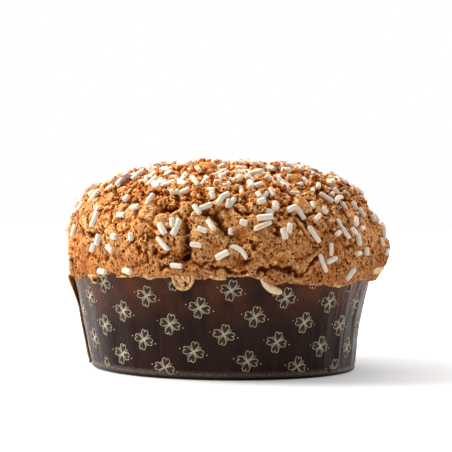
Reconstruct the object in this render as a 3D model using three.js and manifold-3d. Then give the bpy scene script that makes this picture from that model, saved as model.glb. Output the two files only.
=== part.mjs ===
// A low panettone: a domed sweet bread, glazed and strewn with sugar nibs, in the round paper
// mould that it was baked in. Almonds show in the crust, and glaze has run over the mould's rim.
//
// Millimetres, +Z up. The origin is the centre of the mould's foot, on the surface it stands on.
// An azimuth is in degrees: 0 is the front (-Y), 90 the right (+X) and -90 the left.

import * as THREE from 'three';
import { mergeVertices } from 'three/addons/utils/BufferGeometryUtils.js';
import Module from 'manifold-3d';

const wasm = await Module();
wasm.setup();

// Driving dimensions
const FOOT_RADIUS = 92.7;
const RIM_RADIUS = 104.3;
const MOULD_HEIGHT = 69;
const PAPER = 1.1;
const FOOT_ROUND = 3.0;
const GAP = 0.3;

const DOME_RADIUS = 108.6;
const WIDEST_Z = 78;
const DOME_HEIGHT = 64.5;
const DOME_FULLNESS = 2.47;

const NIB_COUNT = 106;
const NIB_RADIUS = 1.85;
const NIB_SUNK = 0.8;
const RIM_STEPS = 72;
const RING_PITCH = 5.6;
const LIP_Z = 64.2;

// Shared small tools

const rad = THREE.MathUtils.degToRad;

/** A point from its azimuth, its distance from the axis and its height. */
function at(azimuth, r, z) {
  return new THREE.Vector3(r * Math.sin(rad(azimuth)), -r * Math.cos(rad(azimuth)), z);
}

/** A smooth falloff: 1 at the centre and 0 at the reach. */
function falloff(distance, reach) {
  const x = Math.max(0, 1 - distance / reach);
  return x * x * (3 - 2 * x);
}

/** The shorter way round from one azimuth to another, in degrees. */
function turn(from, to) {
  return ((to - from + 540) % 360) - 180;
}

/** A seeded random number from 0 to 1, the same on every run. */
let seed = 20417;
function random() {
  seed = (seed * 16807) % 2147483647;
  return seed / 2147483647;
}

function solidOf(geometry) {
  const bare = geometry.clone();
  bare.deleteAttribute('normal');
  bare.deleteAttribute('uv');
  const merged = mergeVertices(bare, 1e-4);
  return new wasm.Manifold(new wasm.Mesh({
    numProp: 3,
    vertProperties: merged.attributes.position.array,
    triVerts: new Uint32Array(merged.index.array),
  }));
}

function geometryOf(solid) {
  const mesh = solid.getMesh();
  const geometry = new THREE.BufferGeometry();
  geometry.setAttribute('position', new THREE.BufferAttribute(mesh.vertProperties, 3));
  geometry.setIndex(new THREE.BufferAttribute(mesh.triVerts, 1));
  return geometry;
}

/** A closed surface through rings of points, each ring going the same way round from azimuth -180.
 *  Rings may have different numbers of points, and the first and last may be one point. */
function stitchRings(rings) {
  const points = rings.flat();
  const faces = [];
  let start = 0;
  for (let k = 0; k + 1 < rings.length; k += 1) {
    const [a, b] = [rings[k].length, rings[k + 1].length];
    const [lower, upper] = [start, start + a];
    let [i, j] = [0, 0];
    while (i < (a > 1 ? a : 0) || j < (b > 1 ? b : 0)) {
      const stepLower = b === 1 || (a > 1 && i < a && (i + 1) / a <= (j + 1) / b) || j >= b;
      if (stepLower) {
        faces.push(lower + (i % a), lower + ((i + 1) % a), upper + (j % b));
        i += 1;
      } else {
        faces.push(lower + (i % a), upper + ((j + 1) % b), upper + (j % b));
        j += 1;
      }
    }
    start += a;
  }
  const geometry = new THREE.BufferGeometry().setFromPoints(points);
  geometry.setIndex(faces);
  return geometry;
}

// The paper mould

/** The mould's outer radius at a height: steep at the foot, then flaring out to the rim. */
function wallRadius(z) {
  return FOOT_RADIUS + (RIM_RADIUS - FOOT_RADIUS) * (z / MOULD_HEIGHT) ** 2;
}

/** Where the wall's curve has points between the foot and the rim, as shares of its height. */
const WALL_LEVELS = [0.35, 0.65];

/** The cup, grown by an amount on every side: 0 for the paper itself, more for the room it needs. */
function cup(grow) {
  const outer = (z) => wallRadius(z) + grow;
  const inner = (z) => wallRadius(z) - PAPER - grow;
  const corner = [];
  for (const angle of [0, 30, 60, 90]) {
    const r = FOOT_RADIUS - FOOT_ROUND + (FOOT_ROUND + grow) * Math.sin(rad(angle));
    const z = FOOT_ROUND - (FOOT_ROUND + grow) * Math.cos(rad(angle));
    corner.push(new THREE.Vector2(r, z));
  }
  const levels = WALL_LEVELS.map((share) => share * MOULD_HEIGHT);
  const top = MOULD_HEIGHT + grow;
  const floor = PAPER + grow;
  const profile = [
    new THREE.Vector2(0, -grow),
    ...corner,
    ...levels.map((z) => new THREE.Vector2(outer(z), z)),
    new THREE.Vector2(outer(MOULD_HEIGHT), top),
    new THREE.Vector2(inner(MOULD_HEIGHT), top),
    ...levels.toReversed().map((z) => new THREE.Vector2(inner(z), z)),
    new THREE.Vector2(inner(FOOT_ROUND), FOOT_ROUND),
    new THREE.Vector2(inner(FOOT_ROUND) - FOOT_ROUND / 2, floor),
    new THREE.Vector2(0, floor),
  ];
  return solidOf(new THREE.LatheGeometry(profile, RIM_STEPS).rotateX(Math.PI / 2));
}

/** The wall's lapped end: where it starts and ends round the wall and up it, and how it springs. */
const FLAP = {
  root: -116,
  free: -88.5,
  lean: 1.5,
  lowest: 3.4,
  highest: 62,
  roundedCorner: 2.2,
  rest: 0.7,
  sprung: 4.4,
  springsFrom: 34,
};

/** How far the free end of the lapped paper stands off the wall: it springs out towards the top. */
function flapGap(along, z) {
  const high = Math.max(0, (z - FLAP.springsFrom) / (FLAP.highest - FLAP.springsFrom));
  return (FLAP.rest + FLAP.sprung * high ** 1.5) * along ** 1.6;
}

/** The wall's lapped end, at the left: rooted in the wall behind, free at the front edge. */
function lapFlap(grow) {
  const [across, up] = [7, 8];
  const sheets = [];
  for (const [bottom, side] of [[0, -1], [1, 1]]) {
    const sheet = [];
    for (let j = 0; j <= up; j += 1) {
      for (let i = 0; i <= across; i += 1) {
        const along = i / across;
        const free = FLAP.free - THREE.MathUtils.lerp(FLAP.lean, 0, j / up);
        const pastEnd = i === across ? THREE.MathUtils.radToDeg(grow / FOOT_RADIUS) : 0;
        const azimuth = THREE.MathUtils.lerp(FLAP.root, free, along) + pastEnd;
        const corner = i === across && j === up ? FLAP.roundedCorner : 0;
        const z = THREE.MathUtils.lerp(FLAP.lowest - grow, FLAP.highest + grow - corner, j / up);
        const middle = wallRadius(z) + PAPER * (0.8 * along - 0.3) + flapGap(along, z);
        sheet.push(at(azimuth, middle + side * (PAPER / 2 + grow), z));
      }
    }
    sheets[bottom] = sheet;
  }
  const row = across + 1;
  const count = sheets[0].length;
  const id = (sheet, i, j) => sheet * count + j * row + i;
  const faces = [];
  const quad = (a, b, c, d) => faces.push(a, b, c, a, c, d);
  for (let j = 0; j < up; j += 1) {
    for (let i = 0; i < across; i += 1) {
      quad(id(1, i, j), id(1, i + 1, j), id(1, i + 1, j + 1), id(1, i, j + 1));
      quad(id(0, i, j), id(0, i, j + 1), id(0, i + 1, j + 1), id(0, i + 1, j));
    }
    quad(id(0, 0, j), id(1, 0, j), id(1, 0, j + 1), id(0, 0, j + 1));
    quad(id(1, across, j), id(0, across, j), id(0, across, j + 1), id(1, across, j + 1));
  }
  for (let i = 0; i < across; i += 1) {
    quad(id(0, i, 0), id(0, i + 1, 0), id(1, i + 1, 0), id(1, i, 0));
    quad(id(1, i, up), id(1, i + 1, up), id(0, i + 1, up), id(0, i, up));
  }
  const geometry = new THREE.BufferGeometry().setFromPoints([...sheets[0], ...sheets[1]]);
  geometry.setIndex(faces);
  return solidOf(geometry);
}

// The crust: a superellipse dome that curls in to a lip over the rim

/** The lip's lower edge: highest at the front, lower at the sides, with runs of glaze below it. */
const RUNS = [
  { azimuth: 18, half: 5.2, drop: 7.5 },
  { azimuth: -15, half: 5.6, drop: 5.0 },
  { azimuth: -54, half: 3.6, drop: 3.2 },
  { azimuth: 42, half: 22, drop: 3.6 },
  { azimuth: 128, half: 7, drop: 4.2 },
  { azimuth: -152, half: 6, drop: 5.0 },
];

/** How much further out than its half width a run fades into the lip. */
const RUN_FADE = 1.6;

function lipZ(azimuth) {
  const level = LIP_Z + 1.0 * Math.cos(rad(azimuth)) + 2.0 * Math.cos(rad(2 * azimuth));
  const wander = 0.6 * Math.sin(rad(7 * azimuth + 40)) + 0.5 * Math.sin(rad(13 * azimuth));
  const runAt = (run) => run.drop * falloff(Math.abs(turn(azimuth, run.azimuth)), run.half * RUN_FADE);
  const run = RUNS.reduce((sum, each) => sum + runAt(each), 0);
  return level + wander - run;
}

function lipProud(azimuth) {
  return 2.6 - 0.6 * Math.sin(rad(azimuth)) + 0.5 * Math.sin(rad(9 * azimuth));
}

/** The crust's plain form: t runs from 0 at the lip's edge, by 0.16 at the widest, to 1 at the apex. */
const WIDEST_T = 0.16;
function plainCrust(azimuth, t) {
  if (t < WIDEST_T) {
    const angle = (1 - t / WIDEST_T) * Math.PI / 2;
    const edge = wallRadius(lipZ(azimuth)) + lipProud(azimuth);
    const r = DOME_RADIUS - (DOME_RADIUS - edge) * (1 - Math.cos(angle));
    return at(azimuth, r, WIDEST_Z - (WIDEST_Z - lipZ(azimuth)) * Math.sin(angle));
  }
  const angle = (t - WIDEST_T) / (1 - WIDEST_T) * Math.PI / 2;
  const power = 2 / DOME_FULLNESS;
  const r = DOME_RADIUS * Math.cos(angle) ** power;
  return at(azimuth, r, WIDEST_Z + DOME_HEIGHT * Math.sin(angle) ** power);
}

/** Swells and dents of the whole crust, in the order they were pushed. */
const SWELLS = [
  { azimuth: 90, z: 83, reach: 29, push: 8.0 },
  { azimuth: -92, z: 70, reach: 36, push: -3.5 },
  { azimuth: -88, z: 118, reach: 32, push: 1.2 },
  { azimuth: 60, z: 136, reach: 38, push: 3.5 },
  { azimuth: 82, z: 125, reach: 32, push: 6.0 },
  { azimuth: 0, z: 105, reach: 30, push: -3.5 },
  { azimuth: 24, z: 88, reach: 26, push: 3.0 },
  { azimuth: -34, z: 92, reach: 34, push: 2.5 },
  { azimuth: -14, z: 86, reach: 13, push: -5.0 },
  { azimuth: -13, z: 80, reach: 11, push: -3.0 },
  { azimuth: 8, z: 79, reach: 10, push: -3.0 },
  { azimuth: 20, z: 77, reach: 10, push: -3.0 },
  { azimuth: 6, z: 95, reach: 11, push: -4.5 },
  { azimuth: 64, z: 118, reach: 16, push: -4.0 },
  { azimuth: 78, z: 104, reach: 14, push: -3.5 },
  { azimuth: -78, z: 92, reach: 13, push: -4.0 },
  { azimuth: -64, z: 93, reach: 12, push: -3.5 },
  { azimuth: 130, z: 90, reach: 30, push: -3.5 },
  { azimuth: 168, z: 102, reach: 34, push: 3.5 },
  { azimuth: -140, z: 86, reach: 26, push: 3.0 },
  { azimuth: -165, z: 114, reach: 16, push: -4.5 },
  { azimuth: 150, z: 124, reach: 18, push: -3.5 },
  { azimuth: -120, z: 114, reach: 20, push: -3.0 },
];

/** The plain crust's point and outward direction at an azimuth and a height on the dome. */
function domeSpot(azimuth, z) {
  const rise = Math.max(-1, Math.min(1, (z - WIDEST_Z) / DOME_HEIGHT));
  const r = DOME_RADIUS * (1 - Math.abs(rise) ** DOME_FULLNESS) ** (1 / DOME_FULLNESS);
  const slope = new THREE.Vector2(
    (r / DOME_RADIUS) ** (DOME_FULLNESS - 1) / DOME_RADIUS,
    Math.sign(rise) * Math.abs(rise) ** (DOME_FULLNESS - 1) / DOME_HEIGHT,
  ).normalize();
  return { point: at(azimuth, r, z), outward: at(azimuth, slope.x, slope.y) };
}

/** A repeatable random number for a cell of space. */
function cellNoise(x, y, z, salt) {
  const s = Math.sin(x * 127.1 + y * 311.7 + z * 74.7 + salt * 53.3) * 43758.5453;
  return s - Math.floor(s);
}

/** Crags: every cell of space holds one seed, and the crust heaves by its nearest seed and sinks
 *  where two seeds are equally near, which is where a real glaze cracks. */
const CRAG_CELL = 15;
const CRAG_HEAVE = 2.6;
const CRACK_DEPTH = 2.8;
const CRACK_WIDTH = 2.4;
function crag(p) {
  let [first, second, heave] = [Infinity, Infinity, 0];
  const [bx, by, bz] = [p.x, p.y, p.z].map((v) => Math.floor(v / CRAG_CELL));
  for (let x = bx - 1; x <= bx + 1; x += 1) {
    for (let y = by - 1; y <= by + 1; y += 1) {
      for (let z = bz - 1; z <= bz + 1; z += 1) {
        const dx = (x + cellNoise(x, y, z, 1)) * CRAG_CELL - p.x;
        const dy = (y + cellNoise(x, y, z, 2)) * CRAG_CELL - p.y;
        const dz = (z + cellNoise(x, y, z, 3)) * CRAG_CELL - p.z;
        const distance = Math.hypot(dx, dy, dz);
        if (distance < first) {
          [second, first] = [first, distance];
          heave = cellNoise(x, y, z, 4) - 0.5;
        } else if (distance < second) {
          second = distance;
        }
      }
    }
  }
  const crack = Math.exp(-(((second - first) / CRACK_WIDTH) ** 2));
  return CRAG_HEAVE * heave - CRACK_DEPTH * crack;
}

/** How broken the crust is: smooth plates on the flanks, and crumbs on top, where it swelled most. */
const PLATES_Z = 92;
const CRUMBS_Z = 124;
const CALMEST = 0.4;
function broken(z) {
  return CALMEST + (1 - CALMEST) * THREE.MathUtils.smoothstep(z, PLATES_Z, CRUMBS_Z);
}

/** A point of the finished crust. */
function crust(azimuth, t) {
  const p = plainCrust(azimuth, t);
  for (const swell of SWELLS) {
    const spot = domeSpot(swell.azimuth, swell.z);
    p.addScaledVector(spot.outward, swell.push * falloff(p.distanceTo(spot.point), swell.reach));
  }
  const outward = new THREE.Vector3(p.x, p.y, (p.z - WIDEST_Z) * 1.6).normalize();
  const calm = THREE.MathUtils.smoothstep(t, 0, WIDEST_T);
  return p.addScaledVector(outward, crag(p) * (0.15 + 0.85 * calm) * broken(p.z));
}

/** The crust's outward direction, from its neighbours. */
function crustNormal(azimuth, t) {
  const here = plainCrust(azimuth, t);
  const side = plainCrust(azimuth + 1, t).sub(here);
  const up = plainCrust(azimuth, t + 0.01).sub(here);
  return side.cross(up).normalize();
}

/** Points stand further apart along a ring than rings do from each other. */
const RING_STRETCH = 1.35;

/** Crust rings about as far apart as their points, thinning out to one point at the apex. */
function crustRings() {
  const rings = [];
  let t = 0;
  while (t < 1) {
    const r = Math.hypot(plainCrust(0, t).x, plainCrust(0, t).y);
    const steps = Math.max(6, Math.round(2 * Math.PI * r / (RING_PITCH * RING_STRETCH)));
    if (r < RING_PITCH * 0.8) break;
    const now = t;
    rings.push(Array.from({ length: steps }, (_, k) => crust(-180 + 360 * k / steps, now)));
    let next = t;
    while (next < 1 && plainCrust(0, next).distanceTo(plainCrust(0, t)) < RING_PITCH) next += 0.002;
    t = next;
  }
  rings.push([crust(0, 1)]);
  return rings;
}

/** The bread: the part in the mould, whose side the mould's own room then trims, and the crust. */
function breadBody() {
  const ring = (radiusAt, zAt) => Array.from({ length: RIM_STEPS }, (_, k) => {
    const azimuth = -180 + 360 * k / RIM_STEPS;
    return at(azimuth, radiusAt(azimuth), zAt(azimuth));
  });
  const inPaper = (z) => wallRadius(z) - PAPER / 2;
  return solidOf(stitchRings([
    [new THREE.Vector3(0, 0, PAPER / 2)],
    ring(() => inPaper(PAPER / 2) - FOOT_ROUND / 2, () => PAPER / 2),
    ring(() => inPaper(FOOT_ROUND), () => FOOT_ROUND),
    ...WALL_LEVELS.map((share) => ring(() => inPaper(share * MOULD_HEIGHT), () => share * MOULD_HEIGHT)),
    ring((a) => inPaper(lipZ(a)), (a) => lipZ(a)),
    ...crustRings(),
  ]));
}

// Toppings

/** A sugar nib: a short length of an extruded rod, six-sided, laid along an axis. */
function nib(length) {
  return new THREE.CylinderGeometry(NIB_RADIUS, NIB_RADIUS * 1.06, length, 6, 1);
}

/** Lays a geometry whose long axis is Y on the crust, turned by an angle and raised along the normal. */
function layOn(geometry, azimuth, t, spin, raise, tip = 0) {
  const normal = crustNormal(azimuth, t);
  const side = new THREE.Vector3().crossVectors(new THREE.Vector3(0, 0, 1), normal).normalize();
  const along = side.applyAxisAngle(normal, spin).addScaledVector(normal, tip).normalize();
  const across = new THREE.Vector3().crossVectors(along, normal).normalize();
  const up = new THREE.Vector3().crossVectors(across, along);
  const place = new THREE.Matrix4().makeBasis(across, along, up);
  place.setPosition(crust(azimuth, t).addScaledVector(up, raise));
  return geometry.applyMatrix4(place);
}

/** Where nibs lie, as the crust's t: from near the apex down to near the widest part. */
const NIBS_FROM = 0.97;
const NIBS_TO = 0.17;
const NIB_SHORTEST = 6.2;
const NIB_LONGEST = 11.4;

/** Nibs on a spiral from the apex down, closer together on top, each turned and sized at random. */
function nibs() {
  const golden = 180 * (3 - Math.sqrt(5));
  return Array.from({ length: NIB_COUNT }, (_, k) => {
    const share = (k + 0.5) / NIB_COUNT;
    const azimuth = k * golden + 8 * (random() - 0.5);
    const t = THREE.MathUtils.lerp(NIBS_FROM, NIBS_TO, share ** 0.62) + 0.03 * (random() - 0.5);
    const length = THREE.MathUtils.lerp(NIB_SHORTEST, NIB_LONGEST, random());
    return layOn(nib(length), azimuth, t, Math.PI * random(), NIB_RADIUS - NIB_SUNK, 0.24 * (random() - 0.5));
  });
}

/** Whole almonds that show in the crust, each by its azimuth and how far out from the axis it lies,
 *  its turn about the crust's normal and how far its middle is above the crust. */
const ALMONDS = [
  { name: 'almond_left', azimuth: -60, out: 79, turn: 20, rise: 0.6 },
  { name: 'almond_top', azimuth: -14, out: 41, turn: 5, rise: 0.4 },
  { name: 'almond_right', azimuth: 47, out: 69, turn: -15, rise: 0.6 },
  { name: 'almond_back', azimuth: 172, out: 76, turn: 50, rise: 0.8 },
  { name: 'almond_back_left', azimuth: -128, out: 96, turn: 110, rise: 0.6 },
];
const ALMOND = { length: 18.5, width: 11.5, thick: 8.4 };

/** An almond: a flattened egg, pointed at one end. */
function almond(grow) {
  const shape = new THREE.SphereGeometry(1, 12, 8);
  const position = shape.getAttribute('position');
  for (let i = 0; i < position.count; i += 1) {
    const y = position.getY(i);
    const taper = 1 - 0.28 * y - 0.12 * y * y;
    position.setXYZ(
      i,
      position.getX(i) * taper * (ALMOND.width / 2 + grow),
      y * (ALMOND.length / 2 + grow),
      position.getZ(i) * taper * (ALMOND.thick / 2 + grow),
    );
  }
  return shape;
}

/** The crust's t at a distance out from the axis, above the widest part. */
function tFromOut(out) {
  const angle = Math.acos((out / DOME_RADIUS) ** (DOME_FULLNESS / 2));
  return WIDEST_T + (1 - WIDEST_T) * angle / (Math.PI / 2);
}

function layAlmond(spec, grow) {
  const place = [spec.azimuth, tFromOut(spec.out), rad(spec.turn), spec.rise];
  return solidOf(layOn(almond(grow), ...place));
}

// Assembly

const mouldSolid = cup(0).add(lapFlap(0));
const mouldRoom = cup(GAP).add(lapFlap(GAP));

let breadSolid = breadBody();
for (const geometry of nibs()) {
  breadSolid = breadSolid.add(solidOf(geometry));
}
breadSolid = breadSolid.subtract(mouldRoom);
for (const spec of ALMONDS) {
  breadSolid = breadSolid.subtract(layAlmond(spec, GAP));
}

/** The largest piece of a solid: cutting can leave loose scraps, which fall away. */
function largest(solid) {
  return solid.decompose().sort((a, b) => b.volume() - a.volume())[0];
}

const materials = {
  crust: new THREE.MeshStandardMaterial({ color: 0xb9783f, roughness: 0.85, metalness: 0 }),
  paper: new THREE.MeshStandardMaterial({ color: 0x3a2621, roughness: 0.5, metalness: 0 }),
  almond: new THREE.MeshStandardMaterial({ color: 0x9a5a34, roughness: 0.6, metalness: 0 }),
};

function piece(name, solid, material) {
  const mesh = new THREE.Mesh(geometryOf(solid), material);
  mesh.name = name;
  return mesh;
}

const panettone = new THREE.Group();
panettone.add(piece('paper_mould', mouldSolid, materials.paper));
panettone.add(piece('bread', largest(breadSolid), materials.crust));
for (const spec of ALMONDS) {
  panettone.add(piece(spec.name, layAlmond(spec, 0), materials.almond));
}

export default panettone;
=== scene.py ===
# %% [markdown]
# # A low panettone in its paper mould
# The loaf is a sweet bread that rose over the rim of a flared paper mould. Its top was brushed with an
# almond glaze and strewn with sugar nibs before it was baked, so the crust cracked into plates and crumbs.
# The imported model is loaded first. Every piece below stands on it, in metres, with its foot at the origin.

# %% Load the frame
import math

import bmesh
import bpy
import numpy as np
from mathutils import Matrix, Vector
from mathutils.bvhtree import BVHTree


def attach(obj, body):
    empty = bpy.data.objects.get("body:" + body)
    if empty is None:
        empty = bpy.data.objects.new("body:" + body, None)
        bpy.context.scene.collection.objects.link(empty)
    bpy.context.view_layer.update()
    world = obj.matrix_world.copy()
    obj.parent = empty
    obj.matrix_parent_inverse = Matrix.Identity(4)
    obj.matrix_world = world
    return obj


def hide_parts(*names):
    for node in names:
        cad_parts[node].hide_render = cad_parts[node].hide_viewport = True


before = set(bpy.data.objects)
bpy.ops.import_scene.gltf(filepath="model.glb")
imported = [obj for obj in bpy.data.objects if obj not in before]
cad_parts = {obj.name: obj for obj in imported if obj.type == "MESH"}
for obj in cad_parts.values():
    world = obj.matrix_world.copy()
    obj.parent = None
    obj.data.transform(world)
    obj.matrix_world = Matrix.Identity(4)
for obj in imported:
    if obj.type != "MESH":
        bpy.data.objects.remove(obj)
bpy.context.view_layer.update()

# %% [markdown]
# ## Sizes
# These are the solids' own measures, in millimetres. An azimuth is in degrees: 0 is the front, 90 the right
# and -90 the left. Formulas are easier to read in millimetres, so meshes are turned to metres when written.

# %% Sizes of the mould and the dome
MM = 0.001
foot_radius, rim_radius, mould_height = 92.7, 104.3, 69.0
foot_round, paper = 1.8, 1.1
dome_radius, widest_z, dome_height, dome_fullness = 108.6, 78.0, 64.5, 2.47
mean_lip_z = 64.2

# The azimuth, half width and drop of each run of glaze over the rim.
runs = [
    (-40, 14, -1.2), (18, 3.2, 2.5), (-15, 3.6, 1.2), (-54, 2.6, 2.6),
    (42, 22, 3.6), (128, 6, 4.2), (-152, 5, 4.4),
]

# The azimuth, height, reach and push of each swell and dent of the crust.
swells = [
    (90, 83, 29, 8.0), (-92, 70, 36, -3.5), (-88, 118, 32, 1.2), (60, 136, 38, 3.5), (82, 125, 32, 6.0),
    (0, 105, 30, -3.5), (24, 88, 26, 3.0), (-34, 92, 34, 2.5), (-14, 86, 13, -5.0), (-13, 80, 11, -3.0),
    (8, 79, 10, -3.0), (20, 77, 10, -3.0), (6, 95, 11, -4.5), (64, 118, 16, -4.0), (78, 104, 14, -3.5),
    (-78, 92, 13, -4.0), (-64, 93, 12, -3.5), (130, 90, 30, -3.5), (168, 102, 34, 3.5), (-140, 86, 26, 3.0),
    (-165, 114, 16, -4.5), (150, 124, 18, -3.5), (-120, 114, 20, -3.0),
]


def spot(azimuth, r, z):
    """A point in metres from an azimuth in degrees and millimetres out and up."""
    turn = math.radians(azimuth)
    return Vector((r * math.sin(turn), -r * math.cos(turn), z)) * MM


def turn_of(points):
    """The azimuth of each point, in degrees."""
    return np.degrees(np.arctan2(points[:, 0], -points[:, 1]))


def falloff(distance, reach):
    """Smooth falloff, 1 at the centre and 0 at the reach, as proportional editing has it."""
    x = np.clip(1 - np.asarray(distance, float) / reach, 0, 1)
    return x * x * (3 - 2 * x)


# %% [markdown]
# ## Small habits
# An operator acts on whatever is selected, and loading the frame leaves its solids selected. So each piece is
# worked on alone. A finished piece has its place in its mesh, with doubles merged and faces turned outwards.

# %% Helpers that keep one piece in hand
def put_down():
    if bpy.context.object is not None and bpy.context.object.mode != "OBJECT":
        bpy.ops.object.mode_set(mode="OBJECT")
    bpy.ops.object.select_all(action="DESELECT")
    bpy.context.view_layer.objects.active = None


def take_up(piece):
    put_down()
    piece.select_set(True)
    bpy.context.view_layer.objects.active = piece


def go(mode, select=None, by=None):
    """Changes mode, and in Edit Mode the kind of element and what is selected."""
    bpy.ops.object.mode_set(mode=mode)
    if by:
        bpy.ops.mesh.select_mode(type=by)
    if select:
        bpy.ops.mesh.select_all(action=select)


def apply_all(piece):
    take_up(piece)
    for modifier in list(piece.modifiers):
        bpy.ops.object.modifier_apply(modifier=modifier.name)


def close_up(piece, name, merge=0.01 * MM):
    """Names the piece, puts its place in its mesh, merges doubles and turns its faces out."""
    take_up(piece)
    piece.name = piece.data.name = name
    bpy.ops.object.transform_apply(location=True, rotation=True, scale=True)
    go("EDIT", "SELECT")
    bpy.ops.mesh.remove_doubles(threshold=merge)
    bpy.ops.mesh.normals_make_consistent(inside=False)
    go("OBJECT")
    bpy.ops.object.shade_smooth()
    return piece


def read(items, what, wide=1, kind=float):
    """One value of every vertex, edge, face or attribute item, as an array."""
    values = np.empty(len(items) * wide, kind)
    items.foreach_get(what, values)
    return values.reshape(-1, wide) if wide > 1 else values


def points_of(piece):
    """The piece's vertices as an array in millimetres."""
    return read(piece.data.vertices, "co", 3) / MM


def set_points(piece, points):
    piece.data.vertices.foreach_set("co", (np.asarray(points) * MM).ravel())
    piece.data.update()


def piece_from(name, points, faces):
    """A piece from points in millimetres and lists of corners."""
    mesh = bpy.data.meshes.new(name)
    mesh.from_pydata((np.asarray(points) * MM).tolist(), [], faces)
    mesh.update()
    made = bpy.data.objects.new(name, mesh)
    bpy.context.scene.collection.objects.link(made)
    return made


def gathered(parts):
    """The points and faces of many small bodies as those of one."""
    points, faces, count = [], [], 0
    for body, corners in parts:
        points.append(body)
        faces += [tuple(c + count for c in corner) for corner in corners]
        count += len(body)
    return np.concatenate(points), faces


def thicken(piece, name, thickness, offset=-1):
    """Gives a sheet its thickness in millimetres: inwards by -1, to both sides by 0."""
    solid = piece.modifiers.new(name, "SOLIDIFY")
    solid.thickness = thickness * MM
    solid.offset = offset
    apply_all(piece)


def place(piece, slot, *nodes):
    """Rides the piece on the loaf's one body and hides the solids it stands for. Its slot is not used."""
    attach(piece, "root")
    if nodes:
        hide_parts(*nodes)
    box = [[round(v, 1) for v in f(points_of(piece), axis=0)] for f in (np.min, np.max)]
    print(piece.name, len(piece.data.polygons), "faces", box)


# %% [markdown]
# ## Chance that repeats
# Crust needs randomness, but the same on every run. A hash turns the corner of a grid of space into a number
# from 0 to 1. The crags of the solids use the same hash, so plates and cracks fall in the same places here.

# %% Hash, soft noise and crags
def cell_noise(x, y, z, salt):
    s = np.sin(x * 127.1 + y * 311.7 + z * 74.7 + salt * 53.3) * 43758.5453
    return s - np.floor(s)


def soft_noise(points, cell, salt):
    """Smooth noise from 0 to 1 over space, with lumps about one cell across. A cell may be a triple."""
    p = np.asarray(points) / np.asarray(cell, float)
    corner = np.floor(p)
    t = p - corner
    t = t * t * (3 - 2 * t)
    total = 0.0
    for step in np.ndindex(2, 2, 2):
        weight = np.prod(np.where(step, t, 1 - t), axis=1)
        total = total + weight * cell_noise(*(corner + step).T, salt)
    return total


crag_cell, crag_heave, crack_depth, crack_width = 15.0, 2.6, 2.8, 2.4


def crags(points):
    """How far each point heaves, and how deep in a crack it is, from the nearest two seeds of the cells."""
    base = np.floor(points / crag_cell)
    first = np.full(len(points), 1e9)
    second = first.copy()
    heave = np.zeros(len(points))
    for step in np.ndindex(3, 3, 3):
        c = base + np.array(step) - 1
        seed_point = np.stack([c[:, k] + cell_noise(*c.T, k + 1) for k in range(3)], 1)
        distance = np.linalg.norm(seed_point * crag_cell - points, axis=1)
        nearest = distance < first
        second = np.where(nearest, first, np.minimum(second, distance))
        heave = np.where(nearest, cell_noise(*c.T, 4) - 0.5, heave)
        first = np.minimum(first, distance)
    crack = np.exp(-(((second - first) / crack_width) ** 2))
    return crag_heave * heave, crack


def rise_between(low, high, values):
    """0 below the low value, 1 above the high one, and smooth between."""
    t = np.clip((values - low) / (high - low), 0, 1)
    return t * t * (3 - 2 * t)


# %% [markdown]
# ## Finishes that several materials share
# A node group is built once and placed in each material with its own values. A group gives out only masks,
# values and colours that change over the surface. The shader itself stays in the material.

# %% Helpers for node trees
def new_group(name, gives, **takes):
    """A shader group that takes a place and some numbers, and gives one number."""
    group = bpy.data.node_groups.new(name, "ShaderNodeTree")
    group.interface.new_socket("Vector", in_out="INPUT", socket_type="NodeSocketVector")
    for label, usual in takes.items():
        group.interface.new_socket(label, in_out="INPUT", socket_type="NodeSocketFloat").default_value = usual
    group.interface.new_socket(gives, in_out="OUTPUT", socket_type="NodeSocketFloat")
    return group, group.nodes.new("NodeGroupInput"), group.nodes.new("NodeGroupOutput")


def wire(tree, kind, inputs=(), **properties):
    """Adds a node with its properties. An input is a plain value or another node's output."""
    node = tree.nodes.new(kind)
    for key, value in properties.items():
        setattr(node, key, value)
    for socket, value in dict(inputs).items():
        if isinstance(value, bpy.types.NodeSocket):
            tree.links.new(value, node.inputs[socket])
        else:
            node.inputs[socket].default_value = value
    return node


def maths(tree, operation, *values):
    """The answer of a Math node, from numbers or other nodes' outputs."""
    return wire(tree, "ShaderNodeMath", enumerate(values), operation=operation).outputs[0]


def span(tree, value, low, high, strength=1.0, start=0.0):
    """Maps a value to its start at low and to its strength at high."""
    inputs = {"Value": value, "From Min": low, "From Max": high, "To Min": start, "To Max": strength}
    return wire(tree, "ShaderNodeMapRange", inputs).outputs["Result"]


def height_of(tree, place_at):
    return wire(tree, "ShaderNodeSeparateXYZ", {"Vector": place_at}).outputs["Z"]


def stored(tree, name):
    """A value that is kept on the mesh."""
    return wire(tree, "ShaderNodeAttribute", attribute_name=name).outputs["Fac"]


def ramp(tree, factor, *stops):
    """A colour from a ramp of (position, colour or grey) stops."""
    node = tree.nodes.new("ShaderNodeValToRGB")
    elements = node.color_ramp.elements
    while len(elements) < len(stops):
        elements.new(0.5)
    for element, (position, colour) in zip(elements, stops):
        element.position = position
        element.color = (*colour, 1) if isinstance(colour, tuple) else (colour, colour, colour, 1)
    tree.links.new(factor, node.inputs["Fac"])
    return node.outputs["Color"]


def blend(tree, low, high, factor=1.0, kind="MIX"):
    """Mixes two colours by a factor. Each may be a plain colour or another node's output."""
    low, high = [(*colour, 1) if isinstance(colour, tuple) else colour for colour in (low, high)]
    node = wire(tree, "ShaderNodeMix", {0: factor, 6: low, 7: high}, data_type="RGBA", blend_type=kind)
    return node.outputs[2]


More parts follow.
